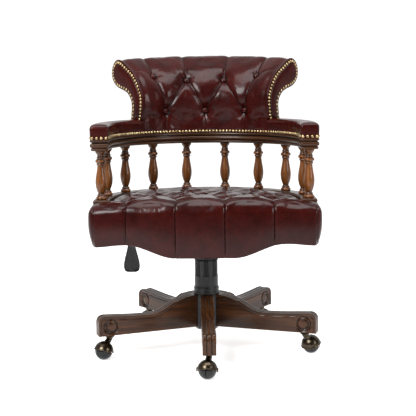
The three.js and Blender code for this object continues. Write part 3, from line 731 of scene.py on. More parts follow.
def make_seat_cushion():
    step = 3.4
    outline = seat_outline(step)
    out = normals_2d(outline, closed=True)
    buttons, pleats = seat_layout()
    rings = []
    for d in (0.35, 1.2, 2.7, 4.8, 7.6):
        ring = outline - out * d
        near = np.min(np.linalg.norm(ring[:, None] - outline[None], axis=2), axis=1)
        rings.append(ring[near > d * 0.92])
    # close points along both sides of each pleat, so that a fold is sharp
    lines = []
    for a, b, *_ in pleats:
        a, b = np.array(a, float), np.array(b, float)
        n = round(np.linalg.norm(b - a) / 2.6)
        d = (b - a) / np.linalg.norm(b - a)
        for off in (0, -1.1, 1.1, -2.6, 2.6):
            lines.append(a + (b - a) * np.linspace(0.02, 0.98, n)[:, None] + np.array([-d[1], d[0]]) * off)
    lines = np.vstack(lines)
    to_edge = np.min(np.linalg.norm(lines[:, None] - outline[None], axis=2), axis=1)
    in_plan = (lines[:, 1] > front_y(lines[:, 0])) & (round_distance(*lines.T) < CUSHION_INNER_R)
    rings.append(spaced(lines[in_plan & (to_edge > 9)], 0.85))
    flat, top_faces = fill_outline(outline, step, rings)
    count = len(outline)
    top = np.column_stack([flat, seat_height(flat[:, 0], flat[:, 1])])

    # the wall: from the rim down to the lower edge, then in under it and up to the board
    ahead = outline[:, 1] < RAIL_FRONT_Y - 0.1
    rim = top[:count, 2]
    foot = np.where(ahead, apron_edge(outline[:, 0]), BOARD_TOP)
    rows = 30
    wall = []
    for k in range(1, rows + 1):
        t = k / rows
        z = rim + (foot - rim) * t
        belly = 1.6 * np.sin(math.pi * t)
        pull = 10.5 * t ** 2.4 * np.abs(out[:, 0]) + 5 * t ** 3 * np.abs(out[:, 1]) - belly
        wall.append(np.column_stack([outline - out * np.where(ahead, pull, 0)[:, None], z]))
    edge = wall[-1].copy()
    tuck = []
    for inward, down in ((0.9, 1.5), (3.2, 2.4), (6.4, 1.8), (9.0, -1.0)):
        q = edge.copy()
        q[:, :2] -= out * np.where(ahead, inward, 0)[:, None]
        q[:, 2] -= np.where(ahead, down, 0)
        tuck.append(q)
    under = edge.copy()
    under[ahead, 0] = np.clip(edge[ahead, 0], -BOARD_HALF + 2, BOARD_HALF - 2)
    under[ahead, 1] = np.maximum(edge[ahead, 1], BOARD_FRONT_Y - 0.6)
    inside = under.copy()
    inside[:, 2] = BOARD_TOP
    faces = list(top_faces)
    previous, start = 0, len(top)
    for _ in [*wall, *tuck, under, inside]:
        for a in range(count):
            b = (a + 1) % count
            faces.append([previous + a, previous + b, start + b, start + a])
        previous, start = start, start + count
    faces.append(list(range(previous, start)))
    points = np.vstack([top, *wall, *tuck, under, inside])
    first_wall, last_wall = len(top), len(top) + rows * count
    index = np.arange(len(points))
    on_wall = (index >= first_wall) & (points[:, 1] < WALL_BACK_Y)
    way = np.where(on_wall, front_y(points[:, 0]) - (SEAT_EDGE_Z - points[:, 2]), points[:, 1])
    height, crease_shade = tufting(np.column_stack([points[:, 0], way]), buttons, pleats, 8.0)
    # the tufts fade where the leather goes under the rail and towards the lower edge
    r = round_distance(points[:, 0], points[:, 1])
    free = np.where(points[:, 1] > WALL_BACK_Y, ease((CUSHION_INNER_R - 3 - r) / 16), 1.0)
    free = np.where((points[:, 1] > WALL_BACK_Y - 10) & (index >= first_wall), 0, free)
    low = np.clip((apron_edge(points[:, 0]) + 12 - points[:, 2]) / 12, 0, 1)
    free = free * np.where(index >= first_wall, 1 - 0.5 * low, 1)
    free = np.where(index >= last_wall, 0.4 * free, free)
    # each front corner seam is pressed in and also gets a dark line of painted shade
    seam = np.exp(-((np.abs(points[:, 0]) - 300) / 1.6) ** 2) * (points[:, 1] < -196) * (index < last_wall)
    plump = 1.2 + ease((points[:, 2] - SEAT_EDGE_Z) / 25)
    rise = (height + plump) * free - 1.6 * seam
    points = points + vertex_normals(points, faces) * rise[:, None]
    # painted shade in the folds and along the corner seams
    crease_shade = np.maximum(crease_shade * free, 0.7 * seam)
    obj = piece("seat_leather_cushion", (points, faces), SEAT_LEATHER, crease_shade=crease_shade,
                replaces=["seat_cushion"], sharp=75)

    def held(world):
        # back from the row frame to seat coordinates, near enough for the pins
        x, y, z = world[:, 0], world[:, 1] - AXIS_Y, world[:, 2]
        wall = ease((452 - z) / 36) * ease((-170 - y) / 40)
        pin = np.maximum(sewn(np.column_stack([x, y]), buttons, pleats), 0.9 * wall)
        r = round_distance(x, y)
        behind = y > WALL_BACK_Y
        side = np.abs(x) > 292
        fixed = (behind & (r > CUSHION_INNER_R - 14)) | (z < apron_edge(x) + 16) | side | (r > 262)
        return np.where(fixed & (behind | (z < 345) | side), 1, pin)
    settle(obj, held)
    spots = [(x, y, seat_height(np.array([x]), np.array([y]))[0] - 14) for x, y in buttons]
    centres, directions = surface_at(obj, lean(np.array(spots)), 0.003)
    domes("seat_buttons", centres, directions, 8.2, 4.8, SEAT_LEATHER, 5, 20, in_row_frame)


def spaced(points, gap):
    """The points that are at least gap from every one kept before."""
    tree = tree_of(points)
    kept = np.ones(len(points), bool)
    for k, p in enumerate(points):
        if kept[k]:
            for _, other, _ in tree.find_range((*p, 0), gap):
                if other > k:
                    kept[other] = False
    return points[kept]


def band(levels, s0, s1, ends=(True, True)):
    """A member that follows the horseshoe from s0 to s1, with its moulding carried round its ends.
    levels are (inward half width, outward half width, how far the end stands out, height)."""
    along = max(2, round((s1 - s0) / 3.5)) - 2
    quarter = np.linspace(0, math.pi / 2, 5)
    rise, fall = np.sin(quarter), np.cos(quarter)
    rings = []
    for inner, outer, reach, z in levels:
        first, last = s0 - reach * ends[0], s1 + reach * ends[1]
        a, b = (min(6, 0.45 * (inner + outer)) * end for end in ends)
        body = np.linspace(first + a, last - b, along)
        loop = [np.column_stack([body, np.full(along, outer)]),
                *joined(np.column_stack([last - b + b * rise, outer - b + b * fall]),
                        np.column_stack([last - b + b * fall, -inner + b - b * rise])),
                np.column_stack([body[::-1], np.full(along, -inner)]),
                *joined(np.column_stack([first + a - a * rise, -inner + a - a * fall]),
                        np.column_stack([first + a - a * fall, outer - a + a * rise]))]
        loop = np.vstack(loop)
        rings.append(on_shoe(loop[:, 0], loop[:, 1], z))
    points, faces, _ = skin(rings)
    # the grain runs along the member
    across = lengths(np.array(rings)[:, 0])
    grain = np.column_stack([np.tile(loop[:, 0], len(rings)), np.repeat(across, len(loop))])
    return points, faces, per_corner(grain.tolist(), faces)


def joined(one, two):
    """Two corner arcs with seven points between them, each without the end that the body has."""
    return one[1:], np.linspace(one[-1], two[0], 9)[1:-1], two[:-1]


def moulding(name, profile, s_end, replaces):
    """A rail whose profile is (half width, height, shade), the same inside, outside and round the ends."""
    widest = max(w for w, z, c in profile)
    shape = band([(w, w, w - widest, z) for w, z, c in profile], -s_end, s_end)
    crease_shade = np.repeat([c for w, z, c in profile], len(shape[0]) // len(profile))
    return piece(name, shape, WALNUT, crease_shade=crease_shade, replaces=replaces, sharp=50)


def make_rails():
    low, high = SEAT_RAIL_Z
    seat = [(19, low, 0.3), (21.4, low + 0.6, 0.2), (23.6, low + 3, 0), (24.2, low + 6, 0),
            (23.8, low + 9.5, 0), (22, low + 11.6, 0.4), (20.4, low + 12.4, 0.8),
            (20.4, low + 13.6, 0.6), (21.6, low + 14.6, 0), (22, low + 17.5, 0), (21.6, low + 20.5, 0),
            (20.2, high - 1, 0), (18, high, 0)]
    moulding("seat_rail_moulding", seat, shoe_length_to(RAIL_FRONT_Y), ["seat_rail"])
    low, high = ARM_RAIL_Z
    arm = [(20, low, 0.2), (22.2, low + 0.7, 0), (23.4, low + 2.4, 0), (23.6, low + 5, 0),
           (22.6, low + 7, 0.3), (21.4, low + 7.6, 0.9), (21.4, low + 8.6, 0.9), (23.6, low + 9.6, 0.2),
           (25.6, low + 12, 0), (26, low + 15, 0), (25.4, low + 18.2, 0), (23.6, low + 20.4, 0.3),
           (21.2, low + 21.6, 0.9), (21, low + 23, 1), (24.6, low + 24, 0.4), (26, low + 25.4, 0),
           (26, low + 28, 0), (24.8, high, 0)]
    moulding("arm_rail_moulding", arm, shoe_length_to(ARM_FRONT_Y), ["arm_rail"])


def make_side_border():
    """Leather over the side of the seat, under its rail, with a welt along the lower edge."""
    section = [(16.5, 331.5), (18.5, 329.6), (21.4, 331), (24.2, 338), (26.8, 350), (28.2, 366), (28.4, 382),
               (27.4, 398), (25, 412), (21.5, 421.5), (18, 423.6), (16.5, 423.6)]
    path = smooth_path(section, 3.4)
    end = shoe_length_to(RAIL_FRONT_Y) + 3.5
    s = np.linspace(-end, end, 330)
    seams = np.linspace(-end, end, 10)[1:-1]
    rings, crease_shade = [], []
    for at in s:
        d = np.min(np.abs(seams - at))
        pull = 3.2 * math.exp(-d / 15) - 0.8
        u = path[:, 0] - pull * np.clip((path[:, 0] - 17) / 8, 0, 1)
        rings.append(on_shoe(at, u, path[:, 1]))
        # painted shade along each seam
        crease_shade.append(np.full(len(path), 0.9 * math.exp(-(d / 1.6) ** 2)))
    obj = piece("side_border_leather", skin(rings, u=s), SEAT_LEATHER, crease_shade=np.concatenate(crease_shade),
                replaces=["seat_border"])
    welt = on_shoe(np.linspace(-end + 2, end - 2, 260), 20.4, 330.4)
    piece("seat_welt", tube(welt, 2.3, 8), SEAT_LEATHER)


# ---- Spindles -------------------------------------------------------------------------------------
# (radius, share of the height from the foot, how much painted shade lies there, most in the grooves)
SPINDLE = [(13.2, 0, .6), (14.3, .012, .3), (14.7, .03, 0), (14.0, .05, 0), (12.0, .064, .3),
           (10.6, .076, .8), (11.4, .086, .3), (11.5, .097, .2), (9.8, .106, .8), (8.4, .116, 1),
           (8.3, .126, .8), (9.0, .14, .4), (10.6, .168, .1), (12.6, .212, 0), (14.3, .268, 0),
           (15.2, .33, 0), (15.0, .395, 0), (13.9, .46, 0), (12.2, .53, 0), (10.7, .595, 0),
           (9.7, .65, .1), (9.4, .684, .3), (9.9, .7, .7), (11.5, .71, .4), (11.9, .72, .1),
           (11.4, .73, .4), (10.4, .738, .9), (10.6, .746, .9), (13.0, .757, .4), (14.6, .774, 0),
           (14.9, .79, 0), (14.0, .808, .2), (11.8, .822, .6), (10.3, .83, 1), (10.2, .842, .8),
           (11.1, .851, .3), (11.1, .861, .3), (9.8, .869, .8), (9.0, .883, .9), (9.2, .9, .5),
           (10.2, .922, .2), (12.0, .942, .2), (13.6, .954, .5), (13.7, .962, .6), (14.3, .968, .2),
           (14.3, .994, .1), (13.8, 1, .2)]


def make_spindles():
    foot, top = SEAT_RAIL_Z[1] + 0.2, ARM_RAIL_Z[0] - 0.2
    profile = [(0.0, foot)] + [(r, foot + t * (top - foot)) for r, t, c in SPINDLE] + [(0.0, top)]
    first, spacing, sides = math.radians(11.6), math.radians(21.6), 36
    crease_shade = np.repeat([0.5, *[c for r, t, c in SPINDLE], 0.2], sides)
    points, faces, uv = turned(profile, sides)
    for i in range(10):
        side, k = (-1, 4 - i) if i < 5 else (1, i - 5)
        x, y = shoe(side * (first + k * spacing) * SHOE_R, 0)
        c, s = math.cos(0.7 * i), math.sin(0.7 * i)
        turn = np.array([[c, s, 0], [-s, c, 0], [0, 0, 1]])
        shape = (points @ turn + [float(x), float(y), 0], faces, [[a + 37.0 * i, b] for a, b in uv])
        piece(f"turned_spindle_{i + 1:02d}", shape, TURNED_WALNUT, crease_shade=crease_shade,
              replaces=[f"spindle_{i + 1:02d}"], sharp=65)


# ---- Arms and back --------------------------------------------------------------------------------
BACK_FRONT = [(262.5, 613.6), (263, 628), (263, 645), (262, 662), (259.5, 680), (257.2, 700), (258, 724),
              (265.7, 746), (278, 769), (294.5, 789), (318.5, 807), (341, 822)]
BACK_ROLL = [(356, 829.5), (371, 828), (384, 815), (390, 796), (388, 778), (380, 764), (367, 753.5),
             (352, 747.5), (338, 744)]
BACK_REAR = [(322, 735.2), (311, 723), (304.5, 710.5), (302.3, 695), (304.5, 676), (309.5, 650),
             (310.5, 613.6)]
BACK_CROWN = 10
NAIL_PITCH = 11.0
NAIL_R = 4.2
BUTTONS_TOP = (30.8, 11.2)
BUTTONS_LOW = (25.6, 0)


def crowned(s, z):
    rise = np.clip((z - 660) / (831 - 660), 0, 1)
    return z + BACK_CROWN * rise * (1 - (s / BACK_HALF) ** 2)


def make_back_pad():
    front = smooth_path(BACK_FRONT + BACK_ROLL, 2.1)
    t = lengths(front)
    out = -normals_2d(front)
    inner = np.array([(330, 742), (310, 738), (294.5, 743.5), (284, 723), (279, 700), (279, 613.6)])
    s = np.linspace(-BACK_HALF, BACK_HALF, 210)
    grid_s, grid_t = np.meshgrid(s, t, indexing="ij")
    flat = np.column_stack([grid_s.ravel(), grid_t.ravel()])
    face = front[:, 0] < 330

    def at(z):
        return float(np.interp(z, front[face, 1], t[face]))
    arc = math.pi / 180 * SHOE_R
    top = [(a * sign * arc, at(769 + 15 * (a > 20))) for a in BUTTONS_TOP for sign in (-1, 1)]
    low = [(a * sign * arc, at(676)) for a in BUTTONS_LOW for sign in ((-1, 1) if a else (1,))]
    end = t[-1] - 8
    pleats = [(b, (b[0] * 1.02, end), 7.0, 1.2, 11.0) for b in top]
    pleats += [(b, (b[0], -30), 4.5, 1.6, 8.0) for b in low]
    pleats += [(a, b, 7.5, 7.5, 15.0) for a in top for b in low if abs(a[0] - b[0]) < 80]
    for b in top:
        if abs(b[0]) > 100:
            side = math.copysign(1, b[0])
            pleats.append((b, (side * BACK_HALF * 0.97, b[1] + 24), 4.0, 0.6, 10.0))
    height, crease_shade = tufting(flat, top + low, pleats, 9.0)
    to_end = BACK_HALF - np.abs(flat[:, 0])
    fade = ease(to_end / 10)
    base = 3.2 * ease(to_end / 26) - 2.8
    foot = ease(flat[:, 1] / 16)
    behind = ease((t[-1] - flat[:, 1]) / 40)
    rise = ((height * fade + base + 2.2) * (0.25 + 0.75 * foot) * behind).reshape(grid_s.shape)
    # painted shade in the pleats and round the buttons, fading towards the ends and the back of the roll
    crease_shade = (crease_shade * (0.3 + 0.7 * fade) * behind).reshape(grid_s.shape)
    rings, shades = [], []
    for k, at_s in enumerate(s):
        r = np.concatenate([front[:, 0] + out[:, 0] * rise[k], inner[:, 0]])
        z = np.concatenate([front[:, 1] + out[:, 1] * rise[k], inner[:, 1]])
        rings.append(on_shoe(at_s, r - SHOE_R, crowned(at_s, z)))
        shades.append(np.concatenate([crease_shade[k], np.zeros(len(inner))]))
    obj = piece("back_leather", skin(rings, u=s), BACK_LEATHER, crease_shade=np.concatenate(shades),
                replaces=["back_pad"], sharp=75)
    open_to = (to_end > 7) & (flat[:, 1] > 12) & (flat[:, 1] < t[-1] - 40)
    loose = (1 - sewn(flat, top + low, pleats)) * open_to
    pin = np.hstack([1 - loose.reshape(grid_s.shape), np.ones((len(s), len(inner)))]).ravel()
    if len(pin) == len(obj.data.vertices):
        settle(obj, lambda world: pin)
    spots = []
    for b in top + low:
        k = int(np.argmin(np.abs(t - b[1])))
        r, z = front[k] - out[k] * 14
        spots.append(on_shoe(b[0], r - SHOE_R, crowned(b[0], z)))
    centres, directions = surface_at(obj, lean(np.array(spots)), 0.0045)
    domes("back_buttons", centres, directions, 8.8, 5.0, BACK_LEATHER, 5, 20, in_row_frame)


def make_back_panel():
    """Plain outside back, under the roll."""
    path = smooth_path([(336, 742), *BACK_REAR], 3.5)
    inner = np.array([(291.5, 613.6), (291.5, 700), (296.6, 716), (306, 733)])
    s = np.linspace(-BACK_HALF, BACK_HALF, 110)
    t = lengths(path)
    out = -normals_2d(path)
    rings = []
    for at_s in s:
        full = 1.8 * ease((BACK_HALF - abs(at_s)) / 30) * ease(t / 20) * ease((t[-1] - t) / 14)
        r = np.concatenate([path[:, 0] + out[:, 0] * full, inner[:, 0]])
        z = crowned(at_s, np.concatenate([path[:, 1] + out[:, 1] * full, inner[:, 1]]))
        rings.append(on_shoe(at_s, r - SHOE_R, z))
    obj = piece("outside_back_leather", skin(rings, u=s), BACK_LEATHER, replaces=["back_panel"], sharp=60)


def facing_outline(step):
    """Closed outline of a scroll end as (distance from the horseshoe's centre, height), front edge first."""
    foot_z = ARM_PAD_Z[1] - 1
    front = [p for p in BACK_FRONT if p[1] > foot_z + 4]
    rear = [p for p in BACK_REAR if p[1] > foot_z + 4]
    return smooth_path([(264.5, foot_z), *front, *BACK_ROLL[:-1], (338, 743), *rear, (308.5, foot_z)], step)


def make_facings():
    outline = facing_outline(3.2)
    closed = np.vstack([outline, even(outline[[-1, 0]], 3.2)[1:-1]])
    flat, tris = fill_outline(closed, 3.4)
    count, start = len(closed), len(flat)
    front_edge = outline[:int(len(outline) * 0.5)]
    nearest = distance_to_line(flat, closing(closed))
    inset = distance_to_line(flat, front_edge)
    groove = 1.3 * np.exp(-((inset - 13) / 2.2) ** 2)
    dome = 2.6 * (1 - np.exp(-nearest / 7)) - groove + 1.2 * ease((inset - 14) / 14)
    ring = [[k, (k + 1) % count, start + (k + 1) % count, start + k] for k in range(count)]
    faces = [*tris, *ring, list(range(start, start + count))]
    # painted shade in the groove inside the front edge
    crease_shade = np.concatenate([0.5 * np.exp(-((inset - 13) / 2.0) ** 2), np.zeros(count)])
    # lines of the welts, one round the front edge and over the roll and one inside it, and of the nails
    first = outline[:int(len(outline) * 0.97)]
    second = smooth_path((front_edge + normals_2d(front_edge) * 13.2)[::4], 3.0)
    loop = even(outline, NAIL_PITCH * 0.94)
    loop = loop + normals_2d(loop) * 6.6

    def stood(side, s, line):
        return on_shoe(np.broadcast_to(side * s, len(line)), line[:, 0] - SHOE_R, line[:, 1])
    for side, word in ((-1, "left"), (1, "right")):
        points = np.vstack([stood(side, FACING_S - 0.4 + dome, flat), stood(side, BACK_HALF + 0.3, closed)])
        obj = piece(f"scroll_facing_{word}", (points, faces), BACK_LEATHER, crease_shade=crease_shade,
                    replaces=[f"back_facing_{word}"], sharp=60)
        welts = merge(tube(stood(side, FACING_S - 1.0, first), 2.1, 8),
                      tube(stood(side, FACING_S + 1.6, second), 1.8, 8))
        piece(f"facing_welt_{word}", welts, BACK_LEATHER)
        centres = stood(side, FACING_S + 1.5, loop)
        way = on_shoe(side * (FACING_S + 1), 0, 0) - on_shoe(side * FACING_S, 0, 0)
        domes(f"facing_nails_{word}", centres, np.repeat([way], len(centres), 0), NAIL_R * 0.92, 2.4, BRASS)


def make_arm_pads():
    low, high = ARM_PAD_Z
    levels = []
    for t in np.linspace(0, 1, 18):
        if t < 0.5:
            z = low + (high - 14 - low) * t * 2
            half = 24.6 + 1.3 * math.sin(math.pi * t)
        else:
            angle = (t - 0.5) * math.pi
            z = high - 14 + 13 * math.sin(angle)
            half = 25.9 - 13 * (1 - math.cos(angle))
        levels.append((half, half, half - 26, z))
    levels += [(half - 5, half - 5, half - 31, high), (half - 11, half - 11, half - 37, high + 0.6)]
    far = shoe_length_to(ARM_FRONT_Y)
    for side, word in ((-1, "left"), (1, "right")):
        s0, s1 = (BACK_HALF + 0.6, far) if side > 0 else (-far, -BACK_HALF - 0.6)
        ends = (False, True) if side > 0 else (True, False)
        obj = piece(f"arm_leather_{word}", band(levels, s0, s1, ends), BACK_LEATHER,
                    replaces=[f"arm_pad_{word}"], sharp=60)


def make_rail_nails():
    """Close nailing where the leather meets the arm rail, inside, round the arm fronts and outside."""
    z = ARM_RAIL_Z[1] + 5.4
    far = shoe_length_to(ARM_FRONT_Y)
    centres, directions = [], []
    for side in (-1, 1):
        for s in np.arange(BACK_HALF + 8, far - 3, NAIL_PITCH):
            for u, sign in ((-25.6, -1), (25.6, 1)):
                centres.append(on_shoe(side * s, u, z))
                directions.append(radial(side * s) * sign)
        for u in np.linspace(-19, 19, 4):
            centres.append(on_shoe(side * far, u, z) + [0, -0.3, 0])
            directions.append(np.array([0, -1, 0]))
    for s in np.arange(-BACK_HALF + 1, BACK_HALF, NAIL_PITCH):
        for r, sign in ((261.6, -1), (310.8, 1)):
            centres.append(on_shoe(s, r - SHOE_R, z))
            directions.append(radial(s) * sign)
    domes("arm_rail_nails", centres, directions, NAIL_R, 2.5, BRASS)


# ---- Base -----------------------------------------------------------------------------------------
def leg_top_path():
    """Top edge of a leg from the hub to the foot of its tip, as (distance from the column, height)."""
    bend = [bezier((LEG_HUB_R, 162.5), (50, 162.3), (70, 159.5), (92, 148.5), 14), np.array([[98, 148.0]]),
            bezier((98, 148), (122, 141), (130, 117.5), (182, 117.5), 30)[1:],
            bezier((182, 117.5), (225, 117.5), (262, 121), (304.6, 123), 34)[1:],
            bezier((304.6, 123), (316, 123.2), (LEG_TIP_R, 114), (LEG_TIP_R, 103), 14)[1:],
            np.array([[LEG_TIP_R, z] for z in np.linspace(103, LEG_FOOT_Z, 14)[1:]])]
    return np.vstack(bend)


def leg_side(flat, near_top):
    """(half width, shade) over a leg's side: a raised rim, a line inside it, and the carved volute."""
    rel = flat - VOLUTE
    r = np.linalg.norm(rel, axis=1)
    turn = np.mod(np.arctan2(rel[:, 1], rel[:, 0]) - math.radians(215), math.tau)
    cut = np.zeros(len(flat))
    for winding in (0, 1):
        way = turn / math.tau + winding
        spiral = 21.5 - 3.0 * way - 5.5 * np.maximum(way - 0.7, 0)
        cut = np.maximum(cut, ease((1.75 - way) / 0.15) * np.exp(-((r - spiral) / 2.1) ** 2))
    line = np.exp(-((near_top - 8.2) / 1.3) ** 2) * (r > 23) * ease((flat[:, 0] - 38) / 14)
    carve = np.maximum(3.2 * cut, 1.5 * line)
    rim = 0.5 * (1 - ease((near_top - 6) / 3)) * (r > 22)
    boss = 0.9 * np.exp(-(r / 6.5) ** 2)
    edge = ease(np.minimum(near_top, 4) / 4)
    return LEG_WIDTH / 2 - 0.4 - (carve - rim - boss + 0.6) * edge, np.maximum(cut, 0.85 * line) * edge


def make_legs():
    top = even(leg_top_path(), 2.6)
    out = -normals_2d(top)
    t = lengths(top)
    inset = top - out * 1.3
    inset[0] = (LEG_HUB_R, 161.2)
    inset[-1] = (LEG_TIP_R - 1.3, LEG_FOOT_Z)
    under = even([inset[-1], (LEG_HUB_R, 69.5)], 4)[1:]
    back = even([under[-1], inset[0]], 6)[1:-1]
    outline = np.vstack([inset, under, back])
    flat, tris = fill_outline(outline, 2.4)
    n, count = len(flat), len(outline)
    half = LEG_WIDTH / 2
    side_y, cut = leg_side(flat, distance_to_line(flat, top))
    sides = [np.column_stack([flat[:, 0], sign * side_y, flat[:, 1]]) for sign in (1, -1)]

    # across the top: three ridges with two grooves, and a small leaf cut near the tip
    across = np.concatenate([[-half + 0.2, -half + 1.0], np.linspace(-half + 2.4, half - 2.4, 25),
                             [half - 1.0, half - 0.2]])
    groove = np.exp(-((np.abs(across) - 6.6) / 1.5) ** 2)
    crown = 0.5 * np.clip((np.abs(across) - 8) / 9, 0, 1) ** 2
    lip = np.where(np.abs(across) > half - 1.5, 0.45, 0) + np.where(np.abs(across) > half - 0.5, 0.5, 0)
    leaf_at = t[-1] - 62
    start = ease((t - 3) / 25)
    faces = [*tris, *[[n + k for k in f] for f in tris]]
    strip = []
    shade = []
    for k in range(len(top)):
        leaf = np.exp(-((t[k] - leaf_at) / 9) ** 2 - (across / 4.2) ** 2)
        sunk = 2.2 * groove * start[k] + crown + lip + 1.7 * leaf
        p = top[k] - out[k] * sunk[:, None]
        if k == len(top) - 1:
            p[:, 1] = LEG_FOOT_Z
        strip.append(np.column_stack([p[:, 0], across, p[:, 1]]))
        shade.append(np.maximum(0.9 * groove * start[k], 0.8 * leaf))
    m, last = len(across), len(top) - 1
    row = [range(2 * n + k * m, 2 * n + (k + 1) * m) for k in range(len(top))]
    for k, (here, there) in enumerate(zip(row, row[1:])):
        faces += [[here[j], there[j], there[j + 1], here[j + 1]] for j in range(m - 1)]
        faces.append([k, k + 1, there[-1], here[-1]])
        faces.append([n + k, n + k + 1, there[0], here[0]])
    # underside and hub end
    for k in range(last, count - 1):
        faces.append([k, k + 1, n + k + 1, n + k])
    faces.append([count - 1, 0, n, n + count - 1])
    faces.append([last, *row[last][::-1], n + last])
    faces.append([0, *row[0][::-1], n])
    points = np.vstack([*sides, *strip])
    # painted shade in the carved spiral, the line along each side, the grooves on top and the leaf
    crease_shade = np.concatenate([cut, cut, *shade])
    grain = np.column_stack([points[:, 0], points[:, 2] + points[:, 1] * 0.9])
    for i in range(5):
        angle = -math.pi / 2 + i * math.tau / 5 + BASE_TURN
        uv = per_corner((grain + [i * 410.0, i * 97.0]).tolist(), faces)
        piece(f"carved_leg_{i + 1}", (points, faces, uv), WALNUT, "base", turned_about_column(angle),
              crease_shade=crease_shade, sharp=48, replaces=[f"base_leg_{i + 1}"])


def make_castors():
    """Hood with its neck and stem, pin, and two-part ball, for each leg."""
    outer, inner, tilt = 27.6, 26.1, math.radians(18)
    lip = [(28.0, 2.6), (28.9, 1.2), (29.2, 0.2), (28.8, -0.8), (27.6, -1.0), (26.6, -0.4), (inner, 0.8)]
    p, *rest = turned([(0.01, outer), *arc_points(outer, 88, 8, 22), *lip, *arc_points(inner, 6, 89, 18),
                       (0.01, inner)], 44)
    c, s = math.cos(-tilt), math.sin(-tilt)
    dome = np.column_stack([p[:, 0] * c + p[:, 2] * s, p[:, 1], -p[:, 0] * s + p[:, 2] * c])
    centre = np.array([BALL_OFFSET, 0, BALL_R])
    neck_path = smooth_path([(0, 0, 60), (2.5, 0, 55), (7.5, 0, 49.5), (13.5, 0, 44), (17, 0, 41)], 1.5)
    neck_r = np.interp(np.linspace(0, 1, len(neck_path)), [0, 0.25, 0.6, 1], [9.2, 8.2, 8.8, 10.6])
    flange = turned([(0, 58.8), (9, 58.8), (11.6, 59.4), (12.9, 60.8), (13, 62.6), (12, 64.4), (9.5, 65.4),
                     (5.5, 65.6), (5.5, 99), (4.4, 100), (0, 100)], 32)
    ear = turned([(0, 0), (5.6, 0), (6.4, 0.6), (6.4, 2.2), (5.4, 3.1), (0, 3.4)], 24)
    ears = [laid(ear, "Y", centre + [0, side * 26.4, 0.6], side) for side in (-1, 1)]
    hood = merge((dome + centre, *rest), tube(neck_path, neck_r, 24), flange, *ears)
    pin = laid(turned([(0, -29.9), (1.8, -29.8), (2.8, -29.0), (3, -28), (3, 28), (2.8, 29.0), (1.8, 29.8),
                       (0, 29.9)], 20), "Y", centre)
    rim = arc_points(BALL_R - 0.05, 0, 80, 22)[1:]
    half = turned([(3.4, 0.45), (21.5, 0.45), (24.0, 0.6), *[(r, max(y, 0.9)) for r, y in rim], (3.4, 24.4),
                   (3.4, 0.45)], 44)
    ball = merge(*[laid(half, "Y", centre, side) for side in (-1, 1)])
    for i in range(5):
        n, place = i + 1, at_castor(i)
        piece(f"castor_housing_{n}", hood, BRONZE, f"castor_{n}", place, replaces=[f"castor_hood_{n}"],
              sharp=50)
        piece(f"castor_pin_{n}", pin, BRIGHT_STEEL, f"castor_{n}", place, replaces=[f"castor_axle_{n}"],
              sharp=50)
        piece(f"castor_twin_ball_{n}", ball, BALL_PLASTIC, f"castor_wheel_{n}", place,
              replaces=[f"castor_ball_{n}"], sharp=40)


# ---- Column and mechanism -------------------------------------------------------------------------
def panelled_cover(profile, panels, sides=192):
    """A lathe form whose wall has tall recessed panels: (radius, height, share of the recess) points."""
    angle = np.arange(sides) * math.tau / sides
    beat = np.abs(np.mod(angle * panels / math.tau + 0.5, 1) - 0.5) * 2
    recess = 2.4 * ease((0.62 - beat) / 0.1)
    rings = []
    for r, z, share in profile:
        radius = r - recess * share
        x, y = radius * np.cos(angle), radius * np.sin(angle)
        rings.append(np.column_stack([x, y, np.full(sides, float(z))]))
    rings.append(rings[0])
    return skin(rings, caps=False)


def make_column():
    lower = [(31.5, 163, 0), (36.6, 163, 0), (37.2, 164.5, 0), (37.2, 168, 0), (36.4, 170.5, 0),
             (35.4, 172, 0), (35.6, 174, 0), (36.4, 176, 0), (36.5, 179, 0), (35.6, 182, 0),
             (34.2, 184.4, 0), (33.9, 188, 0), (33.9, 215.5, 0), (33.9, 216.2, 1), (33.9, 240, 1),
             (33.9, 259.5, 1), (33.9, 260.2, 0), (33.4, 261.6, 0), (32.6, 262, 0), (31.5, 262, 0)]
    piece("lift_cover_lower", panelled_cover(lower, 8), BLACK_PLASTIC, "base", level,
          replaces=["column_cover_lower"], sharp=35)
    upper = [(26.7, 170, 0), (29.4, 170, 0), (30, 170.8, 0), (30, 176, 0), (30, 176.6, 0.45), (30, 278, 0.45),
             (30, 278.6, 0), (30, 283.6, 0), (29.4, 284.4, 0), (26.7, 284.4, 0)]
    piece("lift_cover_upper", panelled_cover(upper, 8), BLACK_PLASTIC, "lift", level,
          replaces=["column_cover_upper"], sharp=35)
    tube_wall = [(14.8, 62), (24.2, 62), (25, 63), (25, 261), (24.2, 262), (14.8, 262), (14.8, 62)]
    piece("lift_tube", turned(tube_wall, 48), BLACK_STEEL, "base", level, replaces=["column_tube"], sharp=40)
    rod = [(0, 90), (13.2, 90), (14, 91), (14, 310), (13, 311), (4, 311), (4, 313), (3.4, 313.5), (0, 313.5)]
    piece("lift_rod", turned(rod, 40), BRIGHT_STEEL, "lift", level, replaces=["gas_piston"], sharp=40)


